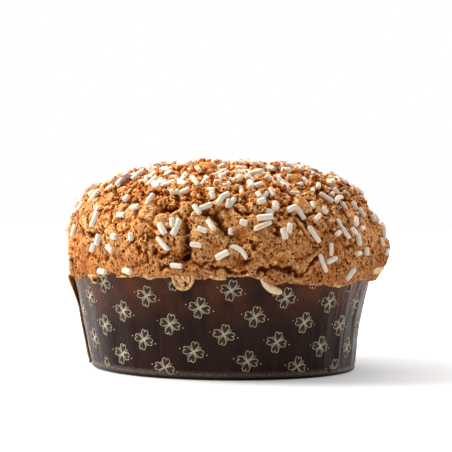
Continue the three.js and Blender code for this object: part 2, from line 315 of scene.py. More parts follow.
def new_finish(name, **values):
    """A material with plain values on its shader's own sockets, and where each point of the piece is."""
    material = bpy.data.materials.new(name)
    material.use_nodes = True
    tree = material.node_tree
    shader = tree.nodes["Principled BSDF"]
    for socket, value in values.items():
        shader.inputs[socket.replace("_", " ")].default_value = value
    return material, tree, shader, wire(tree, "ShaderNodeTexCoord").outputs["Object"]


def placed(tree, group, where, **values):
    """The answer of a shared group that is set into a material."""
    return wire(tree, "ShaderNodeGroup", {"Vector": where, **values}, node_tree=group).outputs[0]


def dress(tree, shader, colour, height=None, strength=0.5, lift=0.5):
    """Gives the shader its colour, and a bump from a height that stands out by a lift in millimetres."""
    tree.links.new(colour, shader.inputs["Base Color"])
    if height is not None:
        bump = wire(tree, "ShaderNodeBump", {"Strength": strength, "Distance": lift * MM, "Height": height})
        tree.links.new(bump.outputs["Normal"], shader.inputs["Normal"])


# %% Group: pores, small round holes of many sizes
pores, taken, given = new_group("pores", "Mask", Spacing=2.0, Size=0.3)
per_metre = maths(pores, "DIVIDE", 1000.0, taken.outputs["Spacing"])
cells = wire(pores, "ShaderNodeTexVoronoi", {"Vector": taken.outputs["Vector"], "Scale": per_metre})
own_size = wire(pores, "ShaderNodeSeparateColor", {"Color": cells.outputs["Color"]}).outputs["Red"]
hole = maths(pores, "MULTIPLY", own_size, taken.outputs["Size"])
inside = span(pores, cells.outputs["Distance"], hole, maths(pores, "MULTIPLY", hole, 0.55))
pores.links.new(inside, given.inputs["Mask"])

# %% Group: grain, fine uneven noise on two scales
grain, taken, given = new_group("grain", "Value", Size=1.0, Detail=4.0)
per_metre = maths(grain, "DIVIDE", 1000.0, taken.outputs["Size"])
noise = wire(grain, "ShaderNodeTexNoise", {
    "Vector": taken.outputs["Vector"], "Scale": per_metre,
    "Detail": taken.outputs["Detail"], "Roughness": 0.6,
})
grain.links.new(noise.outputs["Fac"], given.inputs["Value"])

# %% Group: streaks, which run up a round wall
streaks, taken, given = new_group("streaks", "Value", Width=2.0, Length=60.0)
parts = wire(streaks, "ShaderNodeSeparateXYZ", {"Vector": taken.outputs["Vector"]})
drawn = wire(streaks, "ShaderNodeCombineXYZ", {
    axis: maths(streaks, "DIVIDE", parts.outputs[axis], taken.outputs[size])
    for axis, size in (("X", "Width"), ("Y", "Width"), ("Z", "Length"))
})
noise = wire(streaks, "ShaderNodeTexNoise", {
    "Vector": drawn.outputs[0], "Scale": 1000.0, "Detail": 3.0, "Roughness": 0.55,
})
streaks.links.new(noise.outputs["Fac"], given.inputs["Value"])
print("groups", pores.name, grain.name, streaks.name)


# %% A plain finish that follows one grain
def grained(name, size, detail, *stops, bump=None, **values):
    """A finish whose colour follows one grain, as its bump may, given as strength and lift."""
    material, tree, shader, where = new_finish(name, **values)
    value = placed(tree, grain, where, Size=size, Detail=detail)
    dress(tree, shader, ramp(tree, value, *stops), value if bump else None, *(bump or ()))
    return material


# %% [markdown]
# ## Camera, floor and light
# The view is level with the loaf's top and 6 degrees above its foot, through a long lens from 1.4 m, and the
# camera leans a little. The floor and the surroundings are white. The camera alone sees the floor glow, and
# more so further out, so the white runs on without an edge. A big soft panel stands at the left, so the left
# flank is golden, the right one brown, and a faint shadow falls to the right. A weaker one hangs above, a
# faint one fills the front, and one behind at the right brightens the right edge.

# %% Camera
image_side, focal_px = 452, 2022.0
camera_distance, camera_height = 1.4, 0.1437
axis_px, horizon_px, roll = 223.0, 159.0, math.radians(0.82)

put_down()
bpy.ops.object.camera_add(location=(0, -camera_distance, camera_height))
camera = bpy.context.object
camera.name = "photo_camera"
camera.data.sensor_width = 36.0
camera.data.lens = 36.0 * focal_px / image_side
pitch = math.atan((image_side / 2 - horizon_px) / focal_px)
yaw = math.atan((axis_px - image_side / 2) / focal_px)
level = Matrix.Rotation(yaw, 4, "Z") @ Matrix.Rotation(math.pi / 2 - pitch, 4, "X")
camera.rotation_euler = (level @ Matrix.Rotation(roll, 4, "Z")).to_euler()
camera.data.clip_start = 0.01
bpy.context.scene.camera = camera
print("lens", round(camera.data.lens, 1), "mm, looking down", round(math.degrees(pitch), 2), "degrees")


def sight(u, v):
    """Where the camera stands and the direction in which it sees a point of the picture."""
    du, dv = u - image_side / 2, v - image_side / 2
    flat_u = image_side / 2 + math.cos(roll) * du + math.sin(roll) * dv
    flat_v = image_side / 2 - math.sin(roll) * du + math.cos(roll) * dv
    direction = Vector(((flat_u - axis_px) / focal_px, 1.0, (horizon_px - flat_v) / focal_px))
    return Vector((0, -camera_distance, camera_height)), direction.normalized()


# %% Floor
put_down()
bpy.ops.mesh.primitive_plane_add(size=6, location=(0, 0, -0.0002))
floor = bpy.context.object
floor.name = "floor"
plain_white = (1, 1, 1, 1)
floor_white, tree, shader, where = new_finish(
    "floor_white", Base_Color=(0.72, 0.72, 0.72, 1), Roughness=0.8, Specular_IOR_Level=0.1,
    Emission_Color=plain_white,
)
from_loaf = wire(tree, "ShaderNodeVectorMath", {0: where}, operation="LENGTH").outputs["Value"]
further_out = span(tree, from_loaf, 0.15, 0.6, start=0.21)
seen = wire(tree, "ShaderNodeLightPath").outputs["Is Camera Ray"]
tree.links.new(maths(tree, "MULTIPLY", seen, further_out), shader.inputs["Emission Strength"])
floor.data.materials.append(floor_white)

# %% Light
world = bpy.data.worlds.new("white_room")
bpy.context.scene.world = world
world.use_nodes = True
room = world.node_tree
room_light = room.nodes["Background"]
room_light.inputs["Color"].default_value = plain_white
room_way = wire(room, "ShaderNodeTexCoord").outputs["Generated"]
room_back = wire(room, "ShaderNodeSeparateXYZ", {"Vector": room_way}).outputs["Y"]
room.links.new(span(room, room_back, -0.7, 1.0, 1.3, start=0.1), room_light.inputs["Strength"])
room_mix = wire(room, "ShaderNodeMixShader", {
    "Fac": wire(room, "ShaderNodeLightPath").outputs["Is Camera Ray"],
    1: room_light.outputs["Background"],
    2: wire(room, "ShaderNodeBackground", {"Color": plain_white}).outputs["Background"],
})
room.links.new(room_mix.outputs["Shader"], room.nodes["World Output"].inputs["Surface"])


def soft_panel(name, place_at, aim_at, size, power, colour=(1, 1, 1)):
    put_down()
    bpy.ops.object.light_add(type="AREA", location=place_at)
    panel = bpy.context.object
    panel.name = name
    panel.data.shape = "RECTANGLE"
    panel.data.size, panel.data.size_y = size
    panel.data.energy = power
    panel.data.color = colour
    panel.rotation_euler = (Vector(aim_at) - Vector(place_at)).to_track_quat("-Z", "Y").to_euler()


soft_panel("key_panel", (-1.15, 0.08, 1.1), (0, 0, 0.08), (0.8, 0.8), 34, (1.0, 0.97, 0.93))
soft_panel("top_panel", (-0.1, 0.3, 1.5), (0, 0, 0.1), (0.9, 0.9), 7, (1.0, 0.98, 0.95))
soft_panel("front_fill", (-0.3, -1.9, 0.9), (0, 0, 0.06), (1.2, 0.8), 2.6)
soft_panel("right_glow", (1.2, 0.75, 0.55), (0, 0, 0.09), (0.8, 0.8), 6, (1.0, 0.96, 0.92))
bpy.context.scene.view_settings.view_transform = "Standard"
bpy.context.scene.view_settings.look = "None"

# %% [markdown]
# ## The paper mould
# Such a mould is a strip of greased, printed paper, curled round a disc and lapped at one place. It could be
# a plain cone, but real paper stands in soft flutes that catch the light at both edges. So the wall is drawn
# up from a circle by extruding it, and then its points are moved in and out by a noise that is stretched
# upwards. The same function later carries the print, so ink never floats off the paper.

# %% The wall's radius, with its flutes
def wall_radius(z):
    return foot_radius + (rim_radius - foot_radius) * (z / mould_height) ** 2


left_foot_radius, left_flare = 89.2, 0.2075


def set_in(points):
    """How far the wall stands in at the left, where it is lapped and rises straight, in millimetres."""
    turn = turn_of(points)
    left = rise_between(20, 75, -turn) * (1 - rise_between(110, 150, -turn))
    straight = left_foot_radius + left_flare * points[:, 2]
    return left * (wall_radius(points[:, 2]) - straight)


def flutes(points):
    """How far the paper stands out at each point, in millimetres."""
    z = points[:, 2]
    hold = np.clip(z / 12, 0, 1) * np.clip((mould_height + 6 - z) / 14, 0.35, 1)
    around = np.stack([points[:, 0], points[:, 1], points[:, 2] * 0.05], 1)
    broad = soft_noise(around, 13, 11) - 0.5
    narrow = soft_noise(around, 4.6, 12) - 0.5
    crease = -0.35 * np.exp(-(((z - 3.9 - 0.25 * broad) / 0.7) ** 2))
    turn = turn_of(points)
    wavier = rise_between(30, 58, turn) * (1 - rise_between(110, 140, turn))
    fine = soft_noise(around, 3.2, 13) - 0.5
    waves = 0.9 * broad * (1 + 0.9 * wavier) + narrow * (0.34 + 0.9 * wavier) + 0.8 * fine * wavier
    return hold * waves + crease


def on_wall(azimuth, z, proud=0.0):
    """Points on the fluted wall, in millimetres, from arrays of azimuths and heights."""
    turn = np.radians(azimuth)
    r = wall_radius(z)
    base = np.stack([r * np.sin(turn), -r * np.cos(turn), z], 1)
    out = flutes(base) - set_in(base) + proud
    return base + np.stack([np.sin(turn), -np.cos(turn), np.zeros_like(turn)], 1) * out[:, None]


# %% The wall, drawn up from a circle
put_down()
wall_steps, crisp_edge = 540, math.radians(50)
fold_r = foot_radius - foot_round
bpy.ops.mesh.primitive_circle_add(vertices=wall_steps, radius=fold_r * MM, fill_type="NGON")
mould = bpy.context.object
go("EDIT", "SELECT")
bpy.ops.mesh.flip_normals()
outline = [
    (fold_r + foot_round * math.sin(a), foot_round - foot_round * math.cos(a))
    for a in np.radians((25, 50, 70, 90))
]
outline += [(wall_radius(z), z) for z in (2.8, 3.9, 4.6, 5.4, 6.8, 8.5)]
outline += [(wall_radius(z), z) for z in np.linspace(11, mould_height, 18)]
now_r, now_z = fold_r, 0.0
bpy.ops.mesh.select_mode(type="EDGE")
bpy.ops.mesh.select_all(action="SELECT")
bpy.ops.mesh.region_to_loop()
for next_r, next_z in outline:
    bpy.ops.mesh.extrude_edges_move(TRANSFORM_OT_translate={"value": (0, 0, (next_z - now_z) * MM)})
    bpy.ops.transform.resize(value=(next_r / now_r, next_r / now_r, 1), center_override=(0, 0, next_z * MM))
    now_r, now_z = next_r, next_z
go("OBJECT")
wall_points = points_of(mould)
r = np.hypot(wall_points[:, 0], wall_points[:, 1])
standing = (r > foot_radius - 0.5)[:, None]
outward = wall_points * (1, 1, 0) / np.maximum(r, 1)[:, None]
push = flutes(wall_points)[:, None] * standing - set_in(wall_points)[:, None]
set_points(mould, wall_points + outward * push)
thicken(mould, "paper", paper)
close_up(mould, "paper_wall")
bpy.ops.object.shade_smooth_by_angle(angle=crisp_edge)

# %% [markdown]
# The strip's end laps over itself at the left. It springs away from the wall towards the rim and shows its
# raw brown inside, with a dark gap behind it. A grid is curled into that place and given a thickness.

# %% The lapped end of the strip
lap_start, lap_end, lap_low, lap_high, lap_paper = -116.0, -88.5, 0.8, 62.0, 0.9


def lap_gap(along, z):
    sprung = np.clip((z - 40) / 22, 0, None) ** 1.6
    return (1.0 + 4.3 * sprung) * along ** 1.6


def on_lap(azimuth, z, proud=0.0):
    """Points on the middle of the lapped end's paper, as on_wall gives them for the wall."""
    along = np.clip((azimuth - lap_start) / (lap_end - lap_start), 0, 1)
    return on_wall(azimuth, z, along * 0.6 + lap_gap(along, z) + 0.15 + proud)


put_down()
bpy.ops.mesh.primitive_grid_add(x_subdivisions=26, y_subdivisions=40, size=1)
lap = bpy.context.object
flat = points_of(lap) * MM + 0.5
along, rise = flat[:, 0], flat[:, 1]
corner = np.clip(along - 0.86, 0, 1) / 0.14 * np.clip(rise - 0.93, 0, 1) / 0.07
free_end = lap_end - 1.5 * (1 - rise) + 0.25 * np.sin(rise * 17)
azimuth = lap_start + (free_end - lap_start) * along - 0.9 * corner
z = lap_low + (lap_high - lap_low) * rise - 1.5 * corner
set_points(lap, on_lap(azimuth, z))
thicken(lap, "paper", lap_paper, 0)
close_up(lap, "paper_lap")
bpy.ops.object.shade_smooth_by_angle(angle=crisp_edge)

# %% [markdown]
# The paper is dark brown and a little glossy. Near the rim, in blotches, the brown turns redder.
# Streaks change both its gloss and its tone. A pale broken line along the foot's fold is partly scuffs and
# partly a painted highlight, and below it the paper is painted almost black as shade where the foot turns
# under.

# %% The paper's finish
dark_paper, tree, shader, where = new_finish(
    "dark_paper", Roughness=0.36, Specular_IOR_Level=0.13, Specular_Tint=(1.0, 0.84, 0.77, 1),
)
broad_streaks = placed(tree, streaks, where, Width=7.0, Length=90.0)
fine_streaks = placed(tree, streaks, where, Width=1.1, Length=50.0)
fibre = placed(tree, grain, where, Size=0.8, Detail=5.0)
blotch = placed(tree, grain, where, Size=26.0, Detail=2.0)
height = height_of(tree, where)
above_foot = span(tree, height, 0.0, 0.01)
# Near the rim the brown turns redder, in blotches.
redder_near_rim = maths(tree, "MULTIPLY", span(tree, height, 0.034, 0.058), ramp(tree, blotch, (0.32, 0), (0.66, 1)))
plain_tone = ramp(tree, broad_streaks, (0.3, (0.009, 0.0032, 0.0025)), (0.7, (0.031, 0.0108, 0.0082)))
tone = blend(tree, plain_tone, (0.11, 0.032, 0.012), redder_near_rim)
tone = blend(tree, tone, ramp(tree, fibre, (0.35, 0.8), (0.65, 1.15)), kind="MULTIPLY")
# A pale broken line along the foot's fold: partly scuffs, partly a painted highlight where the fold catches
# light.
fold_scuff_and_highlight_line = ramp(tree, above_foot, (0.0, 0), (0.12, 0), (0.34, 1), (0.62, 0))
fold_scuffs_and_highlight = maths(tree, "MULTIPLY", fold_scuff_and_highlight_line, ramp(tree, fibre, (0.36, 0), (0.58, 0.9)))
tone = blend(tree, tone, (0.21, 0.155, 0.125), fold_scuffs_and_highlight)
# Below about 2 mm the paper goes almost black: painted shade where the foot turns under onto the floor.
tone = blend(tree, tone, ramp(tree, above_foot, (0.08, 0.12), (0.20, 1.0)), kind="MULTIPLY")
tree.links.new(ramp(tree, fine_streaks, (0.35, 0.14), (0.68, 0.36)), shader.inputs["Roughness"])
dress(tree, shader, tone, fine_streaks, 0.5, 0.7)

raw_paper, tree, shader, where = new_finish("raw_paper", Roughness=0.6)
raw_streaks = placed(tree, streaks, where, Width=1.6, Length=40.0)
# The raw brown is the paper's own, brightened well past it as painted light for the light that shines through
# the thin lapped end.
raw_tone = ramp(
    tree, raw_streaks, (0.3, (0.26, 0.07, 0.016)), (0.5, (0.66, 0.27, 0.075)), (0.72, (0.92, 0.55, 0.22)),
)
dress(tree, shader, raw_tone, raw_streaks, 0.3, 0.3)

mould.data.materials.append(dark_paper)
lap.data.materials.append(dark_paper)
lap.data.materials.append(raw_paper)
for face in lap.data.polygons:
    face_out = Vector((face.center.x, face.center.y, 0)).normalized()
    face.material_index = int(face.normal.dot(face_out) < 0.4)
place(mould, "paper", "paper_mould")
place(lap, "paper")

# %% [markdown]
# ## The clover print
# A small four-leaf clover repeats on a slanting lattice, a common ornament on baking paper. It is thin ink,
# so a texture could do it, but its lines are finer than a baked picture would hold. So each line is a ribbon
# of real mesh, a hair above the paper. One clover is drawn flat, copied over the lattice and wrapped on.

# %% One clover, drawn flat
ink_line, ink_thick = 0.17, 0.08
heart_length, heart_width, heart_start = 6.9, 5.0, 0.05


def ribbon(path, closed, half=ink_line):
    """Left and right edges of a line of ink along a path of flat points."""
    path = np.asarray(path, float)
    ahead = np.roll(path, -1, 0) - np.roll(path, 1, 0)
    if not closed:
        ahead[0], ahead[-1] = path[1] - path[0], path[-1] - path[-2]
    side = np.stack([-ahead[:, 1], ahead[:, 0]], 1)
    side /= np.linalg.norm(side, axis=1)[:, None]
    count = len(path)
    bits = count if closed else count - 1
    faces = [(k, (k + 1) % count, count + (k + 1) % count, count + k) for k in range(bits)]
    return np.concatenate([path - side * half, path + side * half]), faces


def heart(steps=26):
    """A heart's outline along +Y, its point near the middle of the clover."""
    t = np.linspace(0, 2 * np.pi, steps, endpoint=False) + np.pi
    x = np.sin(t) ** 3
    y = (13 * np.cos(t) - 5 * np.cos(2 * t) - 2 * np.cos(3 * t) - np.cos(4 * t) + 17) / 29
    return np.stack([-x * heart_width / 2, heart_start + y * heart_length], 1)


def turned(points, degrees):
    a = math.radians(degrees)
    return points @ np.array([[math.cos(a), math.sin(a)], [-math.sin(a), math.cos(a)]])


line_parts, fill_parts = [], []
for petal in range(4):
    line_parts.append(ribbon(turned(heart(), 90 * petal), True))
    edge = turned(heart(), 90 * petal)
    middle = edge.mean(0)
    wedges = [(k, (k + 1) % len(edge), len(edge)) for k in range(len(edge))]
    fill_parts.append((np.vstack([edge, middle]), wedges))
    fans = ((-9, 5.6), (0, 6.6), (9, 5.6)) if petal == 3 else ((-6, 5.0), (6, 5.0))
    for fan, reach in fans:
        stroke = turned(np.array([[0, 0.6], [0, 0.5 * (0.6 + reach)], [0, reach]]), 45 + 90 * petal + fan)
        line_parts.append(ribbon(stroke, False, ink_line * 0.62))
for side in (-1, 1):
    ring = np.linspace(0, 2 * np.pi, 8, endpoint=False)
    dot = np.stack([side * 9.2 + 0.42 * np.cos(ring), 0.42 * np.sin(ring)], 1)
    line_parts.append((dot, [tuple(range(8))]))
print("a clover has", len(line_parts), "lines and", len(fill_parts), "leaves")

# %% The lattice, wrapped round the wall
first_place, step_a, step_b = (1.58, 29.95), (19.81, 11.81), (15.71, -17.36)
sheet_bend = 0.068
sheet_radius = foot_radius / sheet_bend
clover_slant = -12.0


def print_on_wall(name, parts, proud, lift_low=2.6):
    """Copies the flat parts to each place of the lattice and wraps them on the wall or its lapped end."""
    wrapped = []
    for i in range(-30, 31):
        for j in range(-30, 31):
            along = first_place[0] + i * step_a[0] + j * step_b[0]
            rise = first_place[1] + i * step_a[1] + j * step_b[1] + sheet_radius
            azimuth = math.degrees(math.atan2(along, rise)) / sheet_bend
            z = math.hypot(along, rise) - sheet_radius
            if not (lap_start - 5 <= azimuth < 262 and -7 < z < mould_height + 6):
                continue
            for flat, corners in parts:
                drawn = turned(flat, clover_slant + azimuth * sheet_bend)
                high = z + drawn[:, 1] * 0.985
                if high.min() < lift_low or high.max() > mould_height - 0.4:
                    continue
                a = azimuth + np.degrees(drawn[:, 0] / wall_radius(high))
                on_end = lap_start + 0.5 < a.min() and a.max() < lap_end - 2.5 and high.max() < lap_high - 0.6
                if on_end and high.min() > lap_low + 0.6:
                    wrapped.append((on_lap(a, high, proud + 0.5 * lap_paper), corners))
                elif a.min() > -87.5 and a.max() < 243:
                    wrapped.append((on_wall(a, high, proud), corners))
    made = piece_from(name, *gathered(wrapped))
    thicken(made, "ink", ink_thick)
    return close_up(made, name, merge=0.001 * MM)


clover_lines = print_on_wall("clover_lines", line_parts, 0.09)
clover_leaves = print_on_wall("clover_leaves", fill_parts, 0.05)

gold_ink = grained(
    "gold_ink", 1.6, 3.0, (0.32, (0.42, 0.345, 0.225)), (0.6, (0.76, 0.655, 0.475)), Roughness=0.45,
)
olive_ink = grained(
    "olive_ink", 2.2, 3.0, (0.35, (0.024, 0.0135, 0.0045)), (0.65, (0.052, 0.031, 0.011)),
    Roughness=0.4, Specular_IOR_Level=0.2,
)
clover_lines.data.materials.append(gold_ink)
clover_leaves.data.materials.append(olive_ink)
place(clover_lines, "print")
place(clover_leaves, "print")

# %% [markdown]
# ## The crust
# The dome is fuller than half a ball, a superellipse, and curls in under its widest part to a lip over the
# rim. Its profile is drawn as a chain of edges and spun round the axis. Then it is pushed here and pulled
# there with proportional editing, as dough swells, so that no two sides are alike.

# %% The profile, spun round the axis
def lip_z(azimuth):
    level = mean_lip_z + 1.0 * np.cos(np.radians(azimuth)) + 2.0 * np.cos(np.radians(2 * azimuth))
    wander = 0.6 * np.sin(np.radians(7 * azimuth + 40)) + 0.5 * np.sin(np.radians(13 * azimuth))
    for middle, half, drop in runs:
        away = np.abs((azimuth - middle + 540) % 360 - 180)
        level = level - drop * falloff(away, half * 1.6)
    return level + wander


def lip_proud(azimuth):
    return 2.6 - 0.6 * np.sin(np.radians(azimuth)) + 0.5 * np.sin(np.radians(9 * azimuth))


mean_lip_r = wall_radius(mean_lip_z) + 2.6
hidden_z = 54.0
profile = [(0.0, hidden_z), (50.0, hidden_z), (94.0, hidden_z), (98.5, mean_lip_z + 1.2)]
for k in range(8):
    angle = (1 - k / 8) * math.pi / 2
    profile.append((
        dome_radius - (dome_radius - mean_lip_r) * (1 - math.cos(angle)),
        widest_z - (widest_z - mean_lip_z) * math.sin(angle),
    ))
for k in range(27):
    angle = k / 26 * math.pi / 2
    power = 2 / dome_fullness
    out = dome_radius * math.cos(angle) ** power if k < 26 else 0.0
    profile.append((out, widest_z + dome_height * math.sin(angle) ** power))

put_down()
bpy.ops.mesh.primitive_plane_add(size=0.001)
crust = bpy.context.object
go("EDIT", "SELECT", "VERT")
bpy.ops.mesh.merge(type="CENTER")
bpy.ops.transform.translate(value=(0, 0, hidden_z * MM))
for (r0, z0), (r1, z1) in zip(profile, profile[1:]):
    bpy.ops.mesh.extrude_region_move(TRANSFORM_OT_translate={"value": (0, -(r1 - r0) * MM, (z1 - z0) * MM)})
bpy.ops.mesh.select_all(action="SELECT")
bpy.ops.mesh.spin(steps=200, angle=2 * math.pi, center=(0, 0, 0), axis=(0, 0, 1))
go("OBJECT")
close_up(crust, "glazed_crust", merge=0.02 * MM)
print("spun", len(crust.data.vertices), "points")

# %% The lip's own line
crust_points = points_of(crust)
azimuth = turn_of(crust_points)
r = np.hypot(crust_points[:, 0], crust_points[:, 1])
under = (crust_points[:, 2] < widest_z - 0.01) & (r > 97)
share = (widest_z - crust_points[:, 2]) / (widest_z - mean_lip_z)
new_z = widest_z - (widest_z - lip_z(azimuth)) * share
edge_r = wall_radius(lip_z(azimuth)) + lip_proud(azimuth)
new_r = dome_radius - (dome_radius - r) * (dome_radius - edge_r) / (dome_radius - mean_lip_r)
scale = np.where(under & (r > 99), new_r / np.maximum(r, 1), 1)
crust_points[:, 0] *= scale
crust_points[:, 1] *= scale
crust_points[:, 2] = np.where(under, new_z, crust_points[:, 2])
set_points(crust, crust_points)

# %% Swells and dents, pushed by proportional editing
def dome_spot(azimuth, z):
    rise = max(-1.0, min(1.0, (z - widest_z) / dome_height))
    r = dome_radius * (1 - abs(rise) ** dome_fullness) ** (1 / dome_fullness)
    slope = Vector((
        (r / dome_radius) ** (dome_fullness - 1) / dome_radius,
        math.copysign(abs(rise) ** (dome_fullness - 1), rise) / dome_height,
    )).normalized()
    return spot(azimuth, r, z), spot(azimuth, slope.x, slope.y).normalized()


take_up(crust)
go("EDIT", by="VERT")
for azimuth, z, reach, push in swells:
    middle, outward = dome_spot(azimuth, z)
    edit = bmesh.from_edit_mesh(crust.data)
    bpy.ops.mesh.select_all(action="DESELECT")
    nearest = min(edit.verts, key=lambda v: (v.co - middle).length_squared)
    nearest.select_set(True)
    edit.select_flush_mode()
    bmesh.update_edit_mesh(crust.data)
    bpy.ops.transform.translate(
        value=outward * push * MM, use_proportional_edit=True,
        proportional_edit_falloff="SMOOTH", proportional_size=reach * MM,
    )
go("OBJECT")
print("pushed", len(swells), "swells; the crust's box is", np.ptp(points_of(crust), axis=0).round(1))

# %% [markdown]
# A spun mesh has long thin faces at the lip and tiny ones at the apex, and relief needs even ones. So the
# shape is remeshed by voxels, then the plates heave and sink at their cracks by the shared crags. Only then
# come crumbs: displace modifiers with small cell textures, held to where the glaze really broke up.

# %% Even faces, then plates and cracks
def remesh(piece, voxel):
    modifier = piece.modifiers.new("even_faces", "REMESH")
    modifier.mode = "VOXEL"
    modifier.voxel_size = voxel * MM
    modifier.use_smooth_shade = True
    apply_all(piece)


def crust_outward(points):
    out = points * (1, 1, 1.6) - (0, 0, widest_z * 1.6)
    return out / np.maximum(np.linalg.norm(out, axis=1), 1e-6)[:, None]


def above_lip(points):
    """0 at the lip's edge or below it, 1 at the dome's widest part and above."""
    edge = lip_z(turn_of(points))
    t = np.clip((points[:, 2] - edge) / (widest_z - edge), 0, 1)
    return t * t * (3 - 2 * t)


# Each fissure is a path of picture points, then its half width and its depth.
fissures = [
    ([(187, 226), (184, 234), (187, 246), (186, 258)], 2.8, 7.5),
    ([(163, 209), (170, 210), (175, 206)], 2.4, 4.5),
    ([(82, 233), (90, 235), (101, 232)], 1.9, 5.0),
    ([(206, 212), (214, 216), (222, 224), (226, 232)], 3.2, 5.0),
    ([(212, 269), (222, 267), (232, 271), (245, 273)], 1.5, 4.5),
    ([(261, 270), (275, 268), (290, 271), (300, 275)], 1.9, 5.0),
    ([(270, 222), (276, 226), (280, 234)], 1.8, 4.0),
    ([(300, 214), (305, 220), (309, 228)], 1.7, 3.5),
    ([(319, 180), (322, 188), (321, 196)], 1.6, 4.5),
    ([(327, 182), (331, 194)], 1.5, 4.0),
    ([(344, 214), (349, 220), (352, 228)], 1.8, 4.0),
    ([(305, 273), (312, 262), (320, 257)], 1.4, 3.5),
    ([(153, 252), (160, 256), (167, 254)], 1.6, 3.5),
    ([(262, 169), (272, 172), (280, 169)], 2.2, 4.5),
    ([(236, 208), (244, 214), (252, 212)], 1.7, 3.5),
    ([(112, 197), (121, 195)], 1.6, 3.0),
    ([(103, 236), (107, 246), (105, 260)], 1.3, 1.8),
    ([(252, 240), (256, 246)], 1.6, 3.5),
    ([(160, 266), (168, 266)], 1.6, 3.5),
    ([(194, 262), (203, 266), (214, 262)], 1.5, 3.0),
    ([(374.5, 248), (374, 256), (372.5, 265)], 2.0, 5.0),
]


def near_path(points, path):
    """How far each point is from a path of points, in millimetres."""
    least = np.full(len(points), 1e9)
    for start, end in zip(path, path[1:]):
        step = end - start
        share = np.clip((points - start) @ step / (step @ step), 0, 1)
        least = np.minimum(least, np.linalg.norm(points - start - share[:, None] * step, axis=1))
    return least


first_voxel, last_voxel = 1.1, 0.75
remesh(crust, first_voxel)
smooth_tree = BVHTree.FromObject(crust, bpy.context.evaluated_depsgraph_get())
fissure_paths = []
for seen_path, half, depth in fissures:
    hits = [smooth_tree.ray_cast(*sight(u, v))[0] for u, v in seen_path]
    path = [np.array(hit) / MM for hit in hits if hit is not None]
    if len(path) > 1:
        fissure_paths.append((path, half, depth))
back_chance, back_fissures = np.random.default_rng(23), 16
for k in range(back_fissures):
    azimuth, z = 95 + 170 * (k + back_chance.random()) / back_fissures, back_chance.uniform(76, 122)
    lean, reach = back_chance.uniform(-0.3, 1.0), back_chance.uniform(5, 11)
    path = []
    for t in (-1.0, 0.0, 1.0):
        sideways, upwards = t * reach * 0.55 * math.cos(lean), t * reach * math.sin(lean)
        middle, outward = dome_spot(azimuth + sideways, z + upwards)
        path.append(np.array(middle) / MM)
    fissure_paths.append((path, back_chance.uniform(1.4, 2.6), back_chance.uniform(3.0, 5.5)))
print("fissures", len(fissure_paths))
crust_points = points_of(crust)
heave, crack = crags(crust_points)
crumbling = rise_between(92, 124, crust_points[:, 2])
strength = 0.15 + 0.85 * above_lip(crust_points)
lift = (heave * (0.4 + 0.6 * crumbling) - crack_depth * crack * (0.12 + 0.88 * crumbling)) * strength
ragged = rise_between(6, 0, crust_points[:, 2] - lip_z(turn_of(crust_points)))
ragged = ragged * (np.hypot(crust_points[:, 0], crust_points[:, 1]) > 98)
bites = 2.0 * (soft_noise(crust_points, 4.2, 41) - 0.5) + 1.5 * (soft_noise(crust_points, 2.0, 42) - 0.5)
crust_points[:, 2] += ragged * bites
torn = crust_points
for shift, cell, salts in ((3.4, 3.6, (31, 32, 33)), (1.8, 1.7, (34, 35, 36))):
    torn = torn + shift * (np.stack([soft_noise(crust_points, cell, salt) for salt in salts], 1) - 0.5)
uneven_width = 0.65 + 0.7 * soft_noise(crust_points, 6.0, 37)
for path, half, depth in fissure_paths:
    lift -= depth * np.exp(-((near_path(torn, path) / (half * uneven_width)) ** 2))
set_points(crust, crust_points + crust_outward(crust_points) * lift[:, None])
print("plates: lift from", lift.min().round(2), "to", lift.max().round(2), "mm")

# %% Where the glaze broke into crumbs
def broken(points):
    """From 0 on smooth plates to 1 on crumbs: on top, along cracks and in patches."""
    z = points[:, 2]
    top = np.clip((z - 106) / 22, 0, 1)
    patches = soft_noise(points, 17, 21) * 0.6 + soft_noise(points, 8, 22) * 0.4
    crack = crags(points)[1]
    wanted = 0.8 * top + 1.4 * (patches - 0.56) + 0.25 * crack
    return np.clip(wanted * 1.6, 0, 1) * above_lip(points)


def set_group(piece, name, weights, levels=24):
    group = piece.vertex_groups.get(name) or piece.vertex_groups.new(name=name)
    steps = np.round(np.asarray(weights) * levels).astype(int)
    for level in range(levels + 1):
        group.add(np.nonzero(steps == level)[0].tolist(), level / levels, "REPLACE")


def relief(piece, name, kind, size, strength, group, middle=0.5, hollow=None, **extra):
    """One displace modifier with a procedural texture, in millimetres."""
    texture = bpy.data.textures.new(name, kind)
    texture.noise_scale = size * MM
    for key, value in extra.items():
        setattr(texture, key, value)
    if hollow:
        texture.use_color_ramp = True
        for element, (position, grey) in zip(texture.color_ramp.elements, hollow):
            element.position = position
            element.color = (grey, grey, grey, 1)
    modifier = piece.modifiers.new(name, "DISPLACE")
    modifier.texture = texture
    modifier.texture_coords = "LOCAL"
    modifier.strength = strength * MM
    modifier.mid_level = middle
    if group:
        modifier.vertex_group = group


set_group(crust, "crumbly", broken(points_of(crust)))
relief(crust, "lumps", "CLOUDS", 6.5, 3.4, "crumbly", noise_depth=2)
relief(crust, "crumbs", "VORONOI", 4.2, 2.6, "crumbly", 0.6, [(0.0, 1.0), (0.75, 0.0)])
apply_all(crust)

# %% Even faces again, then fine crumbs and pits
remesh(crust, last_voxel)
crust_points = points_of(crust)
crumbly = broken(crust_points)
set_group(crust, "crumbly", crumbly)
set_group(crust, "all_over", 0.25 + 0.75 * crumbly)
relief(crust, "fine_crumbs", "VORONOI", 1.9, 1.25, "crumbly", 0.55, [(0.0, 1.0), (0.7, 0.0)])
relief(crust, "roughness", "CLOUDS", 1.4, 0.5, "all_over", noise_depth=1)
relief(crust, "pits", "VORONOI", 4.6, 2.2, "all_over", 1.0, [(0.12, 0.0), (0.26, 1.0)])
apply_all(crust)
print("crust", len(crust.data.polygons), "faces")

